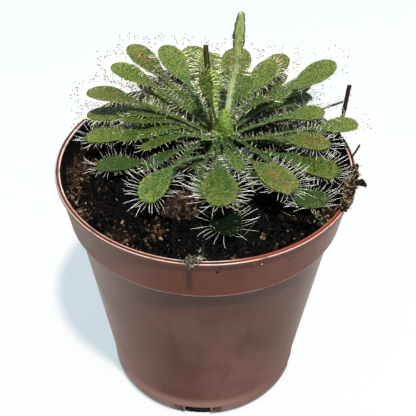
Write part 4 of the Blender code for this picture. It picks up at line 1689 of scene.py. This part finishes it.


# direction, reach, height of the tip, width, lift, roll, age and painted light, start height and start reach
INNER_LEAVES = (
    InnerLeaf(62, 19, 101, 8.5), InnerLeaf(88, 21, 98, 8.0), InnerLeaf(20, 16, 98.5, 8.5, 5.0, 20.0),
    InnerLeaf(29, 32, 94, 7.5), InnerLeaf(43, 26, 96, 8.0), InnerLeaf(118, 24, 97, 8.0), InnerLeaf(135, 25, 99, 8.5),
    InnerLeaf(152, 26, 95, 8.0), InnerLeaf(165, 29, 93.5, 7.5), InnerLeaf(105, 16, 98, 7.0),
    InnerLeaf(72, 29, 95, 8.5), InnerLeaf(52, 32, 96, 8.0), InnerLeaf(145, 17, 96, 7.0), InnerLeaf(14, 29, 91, 7.0),
    InnerLeaf(97, 31, 93, 8.5), InnerLeaf(125, 33, 95, 8.5), InnerLeaf(38, 18, 94, 7.5), InnerLeaf(176, 24, 90, 6.5),
    # a young blade that stands in front of the dry stub
    InnerLeaf(202, 6.1, 113.4, 4.2, 0.0, 84.0, LeafAgeAndLight.BRIGHT, 91.0, 0.8), InnerLeaf(80, 13, 97, 6.0),
    # petioles in the shade under the front leaves
    InnerLeaf(217, 17, 85, 2.2, 1.5, 0.0, LeafAgeAndLight.SHADED, 90.5, 2.2),
    InnerLeaf(299, 20, 84, 2.2, 2.0, 0.0, LeafAgeAndLight.SHADED, 90.0, 2.4),
    InnerLeaf(262, 18, 83, 2.8, 2.2, 0.0, LeafAgeAndLight.SHADED, 90.8, 2.2),
    InnerLeaf(281, 21, 80, 2.4, 2.6, 0.0, LeafAgeAndLight.SHADED, 90.0, 2.4),
    InnerLeaf(327, 21, 86, 2.2, 1.2, 0.0, LeafAgeAndLight.SHADED, 90.0, 2.2),
    InnerLeaf(247, 20, 81, 2.2, 2.0, 0.0, LeafAgeAndLight.SHADED, 89.5, 2.4),
    InnerLeaf(203, 25, 84, 4.4, 2.0, 0.0, LeafAgeAndLight.SHADED), InnerLeaf(353, 26, 86.5, 4.6, 2.0, 0.0, LeafAgeAndLight.SHADED),
    InnerLeaf(172, 30, 92.5, 7.5), InnerLeaf(182, 31, 88.5, 7.0), InnerLeaf(160, 34, 92.0, 7.5),
    InnerLeaf(190, 24, 87.5, 6.0),
)


@dataclass
class TentacleCoat:
    """All tentacles of a group of leaves: glassy stalks with wine-red glands, each in a drop of glue."""

    name: str
    leaves: list[SundewLeaf]
    seed: int
    stalk: Finish = STALK
    gland: Finish = GLAND
    pale: float = 0.0              # share of the stalks that keep their foot's colour
    swelling: float = 1.0          # size of the glands against an even one
    spacing: float = 0.9           # along the edge, in mm
    edge_length: float = 4.7
    stalk_radius: float = 0.048
    petiole_length: float = 3.4
    face_count: int = 34           # half the short tentacles on a big leaf
    reach: float = 48.7            # furthest to the right, near the edge of the solids

    def rows(self, leaf: SundewLeaf, draw: np.random.Generator) -> tuple[np.ndarray, ...]:
        """Place a leaf's tentacles.

        Args:
            leaf: The leaf.
            draw: Random numbers.

        Returns:
            Feet, directions, bends, lengths and shares of full thickness and whiteness.
        """
        scale = min(1.0, 0.35 + leaf.widest / 13.0)
        # long ones stand along the edge, spread evenly apart from a little chance
        edge, outward, ups, share, way = leaf.margin(0.3)
        count = int(way[-1] / self.spacing * (0.5 if leaf.age is LeafAgeAndLight.DEEP else 1.0))
        at = np.sort(draw.random(count)) * 0.35 + np.linspace(0.0, 1.0, count) * 0.65
        index = np.clip(np.searchsorted(way, at * way[-1]), 0, len(way) - 1)
        feet, out, up, where = edge[index], outward[index], ups[index], share[index]
        breadth = leaf.breadths(leaf.course(where)[4])
        blade = np.maximum(ramp(breadth, 0.4, 0.8), where > 0.97)
        # most point straight out, and some rise above the blade
        lift = 0.05 + 0.7 * draw.random(count) ** 2.2 + 0.3 * (1 - blade) * draw.random(count)
        aheads = unit(out + up * lift[:, None] + 0.09 * draw.normal(size=(count, 3)))
        bends = 0.14 * draw.normal(size=(count, 3)) + up * (0.3 * draw.random(count) - 0.1)[:, None]
        full = self.petiole_length + (self.edge_length - self.petiole_length) * blade
        lengths = scale * full * (0.68 + 0.4 * draw.random(count)) * np.clip((where - 0.22) / 0.2, 0.25, 1)
        kept = draw.random(count) < 0.3 + 0.5 * self.pale + 0.7 * ramp(where, 0.55, 0.75)
        edges = (feet - out * 0.1, aheads, bends, lengths, 0.35 + 0.65 * blade)
        faces = self.face_rows(leaf, draw, scale)
        return tuple(np.concatenate((along[kept], above)) for along, above in zip(edges, faces))

    def face_rows(self, leaf: SundewLeaf, draw: np.random.Generator, scale: float) -> tuple[np.ndarray, ...]:
        """Place the short tentacles on a leaf's upper face and along its petiole.

        Args:
            leaf: The leaf.
            draw: Random numbers.
            scale: Size of the leaf against a big one.

        Returns:
            The same columns as rows().
        """
        count = int(self.face_count * scale)
        where = np.sort(0.08 + 0.9 * draw.random(2 * count))
        edge = np.sign(draw.random(2 * count) - 0.5)
        across = edge * np.where(where < 0.5, 0.95, 0.9 * draw.random(2 * count) ** 0.45)
        middles, _, sides, ups, widths = leaf.course(where)
        feet = middles + sides * (across * widths / 2)[:, None] + ups * (leaf.blade_depth / 2 - 0.05)
        aheads = unit(ups + sides * (0.8 * across)[:, None] + 0.2 * draw.normal(size=(2 * count, 3)))
        lengths = scale * (0.35 + 1.3 * across ** 4 * (0.3 + 0.8 * draw.random(2 * count)))
        return feet, aheads, 0.12 * draw.normal(size=(2 * count, 3)), lengths, np.where(where < 0.5, 0.45, 0.7)

    def build(self) -> None:
        """Model the tentacles and their drops, and dress them."""
        draw = np.random.default_rng(self.seed)
        rows = [self.rows(leaf, draw) for leaf in self.leaves]
        feet, aheads, bends, lengths, full = (np.concatenate(column) for column in zip(*rows))
        many = len(feet)
        past = (feet + lengths[:, None] * (aheads + bends))[:, 0] - self.reach
        lengths -= 1.1 * np.clip(past, 0, None)     # a little more, as they slant
        rod, gland, drop = Stamp.rod(4, 4, 0.6), Stamp.bead(5, 4, 1.7), Stamp.bead(6, 5, 1.15)
        radii = self.stalk_radius * (0.8 + 0.4 * draw.random(many)) * full ** 0.6
        heap = Heap("along")
        # a tone below one leaves a stalk the colour of its foot
        tones = full * np.where(draw.random(many) < self.pale, 0.2, 1.0)
        heap.add(rod, bent_rods(rod, feet, aheads, bends, lengths, radii), tones[:, None] * rod.corners[None, :, 2])
        tips = feet + lengths[:, None] * (aheads + bends)
        axes = unit(aheads + 2 * bends)
        heads = self.swelling * np.clip(0.06 + 0.016 * lengths, 0.07, 0.13)
        spin = np.zeros(many)
        heap.add(gland, turned_copies(gland, tips + axes * 0.1, axes, heads, spin),
                 1.05 + 0.05 * gland.corners[None, :, 2], 1)
        add_piece(f"tentacles_{self.name}", heap.mesh(self.name), (self.stalk, self.gland), "tentacle_hair")
        wet = draw.random(many) < 0.85
        sizes = heads[wet] * (1.3 + 0.5 * draw.random(int(wet.sum())))
        drops = Heap("along")
        drops.add(drop, turned_copies(drop, tips[wet] + axes[wet] * 0.12, axes[wet], sizes, spin[wet]), np.array(1.0))
        add_piece(f"dew_{self.name}", drops.mesh(self.name), (GLUE,), "dew_drop", (), 80.0)


@dataclass
class YoungScape:
    """Young flower stalk: a downy rod that ends in a furled, flattened tip."""

    node: bpy.types.Object
    spine: Spine
    sides: int = 20
    rings: int = 70
    hairs: int = 260
    growth: float = 1.1            # height of the tip over the solid's
    seed: int = 31

    def build(self) -> None:
        """Model the stalk with its down and dress it."""
        work, share, turn, poles = ball_blank(self.sides, self.rings)
        middles, _, _, _, widths = self.spine.read(share)
        sides = np.broadcast_to((1.0, 0.0, 0.0), middles.shape)
        fronts = np.broadcast_to((0.0, -1.0, 0.0), middles.shape)
        club = ramp(share, 0.62, 0.72)             # 0 on the rod, 1 on the furled tip
        close = np.where(poles, 0.0, ramp(share, 1.0, 0.97) ** 0.4 * np.clip(share / 0.01, 0.3, 1))
        half = np.maximum(widths, 1.25 * self.spine.widths.mean() * club) / 2 * close
        half *= 1.0 + club * (0.04 - 0.24 * ramp(share, 0.84, 0.92))
        across, deep = np.cos(turn), np.sin(turn)
        fold = club * 0.28 * np.exp(-(across / 0.22) ** 2) * np.where(deep > 0, 1.0, 0.0)
        points = (middles + sides * (half * across)[:, None]
                  + fronts * (half * deep * (1.0 - 0.35 * club) - half * fold)[:, None])
        bumps = (0.1 * rough(points, 0.9, 2, 4.0) + 0.25 * club * rough(points, 1.7, 2, 5.0)) * close
        points += unit(sides * across[:, None] + fronts * deep[:, None]) * bumps[:, None]
        points += UP * (self.growth * ramp(share, 0.63, 0.9))[:, None]
        move_points(work, points)
        mark(work, along=share, across=across)
        bmesh.ops.recalc_face_normals(work, faces=work.faces[:])
        add_piece("young_flower_stalk", work, (GREEN_SCAPE,), "scape_green", (self.node.name,), 80.0)
        self.down()

    def down(self) -> None:
        """Add the stalk's short glandular hairs."""
        draw = np.random.default_rng(self.seed)
        share = 0.02 + 0.8 * draw.random(self.hairs)
        turn = 2 * math.pi * draw.random(self.hairs)
        middles, aheads, _, _, widths = self.spine.read(share)
        first, second = frames(aheads, np.zeros(self.hairs))
        out = first * np.cos(turn)[:, None] + second * np.sin(turn)[:, None]
        rod, gland = Stamp.rod(4, 2, 0.5), Stamp.bead(4, 3, 1.2)
        lengths = 0.35 + 0.5 * draw.random(self.hairs)
        feet = middles + out * (widths / 2 - 0.08)[:, None]
        heap = Heap("along")
        still = np.zeros((self.hairs, 3))
        heap.add(rod, bent_rods(rod, feet, out, still, lengths, np.full(self.hairs, 0.06)), rod.corners[None, :, 2])
        glands = turned_copies(gland, feet + out * lengths[:, None], out, np.full(self.hairs, 0.08), still[:, 0])
        heap.add(gland, glands, np.array(1.05), 1)
        add_piece("stalk_down", heap.mesh("stalk_down"), (SHADED_STALK, LIT_GLAND), "tentacle_hair")


@dataclass
class DryStalk:
    """Dead stalk or twig, cut or broken off at the top, hollow where it was cut."""

    node: bpy.types.Object
    spine: Spine
    finish: Finish
    hollow: float
    seed: float
    foot_shift: float = 0.0        # to the right of the solid's foot
    bore_depth: float = 1.2
    sides: int = 20
    cuts: int = 40

    def build(self) -> None:
        """Model the stalk and dress it."""
        work = rod_blank(self.sides, 1.0, self.cuts)
        top = max(work.faces, key=lambda face: face.calc_center_median().z)
        bmesh.ops.inset_individual(work, faces=[top], thickness=1.0 - self.hollow)
        bore = set(top.verts)
        bmesh.ops.triangulate(work, faces=[face for face in work.faces if len(face.verts) > 4])
        points = points_of(work)
        share = points[:, 2] + 0.5
        inner = np.array([corner in bore for corner in work.verts])
        share = np.where(inner, share - self.bore_depth / self.spine.length, share)
        middles, aheads, _, _, widths = self.spine.read(np.clip(share, 0, 1))
        first, second = frames(aheads, np.zeros(len(points)))
        ragged = 1.0 + 0.12 * rough(points * (1.0, 1.0, 12.0), 0.9, 2, self.seed)
        skin = first * points[:, :1] + second * points[:, 1:2]
        placed = middles + skin * (widths / 2 * ragged * (1.0 - 0.15 * share))[:, None]
        placed[:, 0] += self.foot_shift * (1.0 - share)
        tear = np.where(share > 0.995, 0.3 * rough(points, 0.6, 1, self.seed + 4), 0.0)
        move_points(work, placed + aheads * tear[:, None])
        mark(work, along=share, across=skin[:, 0])
        bmesh.ops.recalc_face_normals(work, faces=work.faces[:])
        add_piece(f"dry_{self.node.name}", work, (self.finish,), "scape_dry", (self.node.name,), 40.0)


# ---- studio ----------------------------------------------------------------------------

@dataclass
class Studio:
    """White paper, a soft overhead light a little to the right, and the camera."""

    camera_target: tuple[float, float, float] = (0.83, 0.0, 65.3)
    camera_distance: float = 262.7
    camera_elevation: float = 40.3
    camera_roll: float = 0.777
    lens: float = 72.13
    paper_size: float = 6000.0
    light_from: tuple[float, float, float] = (11.0, -34.0, 86.0)
    light_distance: float = 2000.0
    light_size: float = 120.0
    light_power: float = 150.0
    light_colour: tuple[float, float, float] = (1.0, 0.93, 0.83)
    sky: tuple[float, float, float] = (0.88, 0.98, 1.05)
    bounce: tuple[float, float, float] = (1.2, 1.1, 1.0)

    def build(self) -> None:
        """Set up paper, light, sky and camera."""
        work = bmesh.new()
        bmesh.ops.create_circle(work, cap_ends=True, segments=96, radius=self.paper_size * MM / 2)
        paper = put("paper", mesh_of(work, "paper"))
        paper.data.materials.append(PAPER.material())
        paper.visible_glossy = paper.visible_diffuse = False
        self.lights()
        self.camera()

    def lights(self) -> None:
        """Hang the light and set the sky."""
        lamp = bpy.data.lights.new("softbox", "AREA")
        lamp.shape = "DISK"
        lamp.size = self.light_size * MM
        lamp.energy = self.light_power
        lamp.color = self.light_colour
        softbox = put("softbox", lamp)
        direction = Vector(self.light_from).normalized()
        softbox.location = Vector((0.0, 0.0, 60.0)) * MM + direction * self.light_distance * MM
        softbox.rotation_euler = direction.to_track_quat("Z", "Y").to_euler()
        sky = bpy.data.worlds.new("studio")
        bpy.context.scene.world = sky
        sky.use_nodes = True
        tree = sky.node_tree
        add = partial(add_node, tree)
        height = add("SeparateXYZ", (add("TexCoord", output="Generated"),), 2)
        glow = layered(add, (*self.bounce, 1.0), (1.0, (*self.sky, 1.0), (height, -0.05, 0.05)))
        tree.links.new(glow, tree.nodes["Background"].inputs["Color"])
        bpy.context.scene.view_settings.view_transform = "Standard"

    def camera(self) -> None:
        """Place the camera at its angle, a little rolled."""
        data = bpy.data.cameras.new("camera")
        data.lens = self.lens
        data.sensor_width = 36.0
        data.clip_start = 0.01
        camera = put("camera", data)
        tilt, roll = math.radians(self.camera_elevation), math.radians(self.camera_roll)
        ahead = Vector((0.0, math.cos(tilt), -math.sin(tilt)))
        right = Vector((1.0, 0.0, 0.0))
        up = right.cross(ahead)
        across = right * math.cos(roll) + up * math.sin(roll)
        over = up * math.cos(roll) - right * math.sin(roll)
        place = (Vector(self.camera_target) - ahead * self.camera_distance) * MM
        camera.matrix_world = Matrix.Translation(place) @ Matrix((across, over, -ahead)).transposed().to_4x4()
        bpy.context.scene.camera = camera


# ---- assembly --------------------------------------------------------------------------

def box_in_mm(node: str) -> tuple[Vector, Vector]:
    """Lowest and highest corner of a CAD node, in millimetres."""
    low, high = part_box(node)
    return low / MM, high / MM


def build_plant(nodes: dict[str, bpy.types.Object], axis: tuple[float, float]) -> None:
    """Build the crown, the leaves with their tentacles, and the stalks.

    Args:
        nodes: CAD nodes by name.
        axis: The crown's axis.
    """
    StemCrown(nodes["crown"], axis, LeafAgeAndLight.YOUNG.value).build()
    middle = np.array((*axis, 90.0))
    leaves = [SundewLeaf(name, int(name[-2:]), Spine.of(nodes[name], middle), age_and_light_of(int(name[-2:])), (name,))
              for name in sorted(nodes) if name.startswith("leaf_")]
    inner = [plan.leaf(number, axis) for number, plan in enumerate(INNER_LEAVES, start=1)]
    for leaf in leaves + inner:
        leaf.build()
    # the leaves are numbered by where they stand: front, right, left, back, low at the back, and young
    # lit and shaded copies of the stalk and gland finishes, with light and shade painted for where the leaves stand
    lit = {"stalk": STALK, "gland": LIT_GLAND}
    shaded = {"stalk": SHADED_STALK, "gland": GLAND, "pale": 0.7}
    coats = (
        TentacleCoat("front", leaves[:13], 41, **lit, swelling=0.9, spacing=0.68, stalk_radius=0.043),
        TentacleCoat("right", leaves[13:21], 42, **lit, swelling=0.9, spacing=0.8, stalk_radius=0.044),
        TentacleCoat("left", leaves[21:27], 43, **shaded, spacing=0.4, edge_length=4.4),
        TentacleCoat("back", leaves[27:36], 44, **shaded, spacing=0.6, edge_length=3.4),
        TentacleCoat("low", leaves[36:43], 45, **shaded, swelling=1.3, spacing=1.3),
        TentacleCoat("young", leaves[43:], 46, **shaded, swelling=0.8, spacing=2.0),
        TentacleCoat("inner", inner, 47, **shaded, swelling=0.9, spacing=1.3, edge_length=3.4))
    for coat in coats:
        coat.build()
    low = np.array((*axis, 0.0))
    YoungScape(nodes["young_scape"], Spine.of(nodes["young_scape"], low)).build()
    for name, finish, hollow, seed, shift in (
            ("dead_scape_stub", DRY_SCAPE, 0.6, 1.0, 0.0), ("dry_stub_right", DRY_TWIG, 0.5, 2.0, 2.4),
            ("rim_twig", DRY_TWIG, 0.3, 3.0, 0.0)):
        foot = np.array(box_in_mm(name)[0]) * (1.0, 1.0, 0.0)
        DryStalk(nodes[name], Spine.of(nodes[name], foot), finish, hollow, seed, shift).build()


def main() -> None:
    """Build the dressed plant in its pot, set the studio round it, and log how far the pot spans across."""
    logging.basicConfig(level=logging.INFO, format="%(name)s: %(message)s")
    for item in list(bpy.data.objects):
        bpy.data.objects.remove(item)
    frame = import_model()
    nodes = frame["nodes"]
    low, high = box_in_mm("pot")
    crown_low, crown_high = box_in_mm("crown")
    axis = ((crown_low.x + crown_high.x) / 2, (crown_low.y + crown_high.y) / 2)
    pot = NurseryPot(height=high.z, rim_radius=high.x)
    pot.build()
    PeatBed(nodes["soil"], pot, axis).build()
    CrumbLump(nodes["peat_lump"], LOOSE_PEAT, "peat", 3, crumbs=320, fibres=40, crumb_size=0.7, fibre_length=2.4,
              tint=(0.3, 1.0)).build()
    CrumbLump(nodes["rim_clump_right"], MOSS, "moss_fibre", 4, crumbs=420, fibres=260, crumb_size=0.55,
              fibre_length=1.3, tint=(0.0, 1.0), squeeze=(0.75, 0.9), taper=0.5).build()
    CrumbLump(nodes["rim_crumb_front"], PALE_MOSS, "moss_fibre", 5, crumbs=30, fibres=22, crumb_size=0.4,
              fibre_length=1.5, tint=(0.2, 1.0), squeeze=(0.6, 0.6), lean=(0, -1, -1)).build()
    build_plant(nodes, axis)
    Studio().build()
    log.info("pot spans %.1f to %.1f mm across", low.x, high.x)


if __name__ == "__main__":
    main()
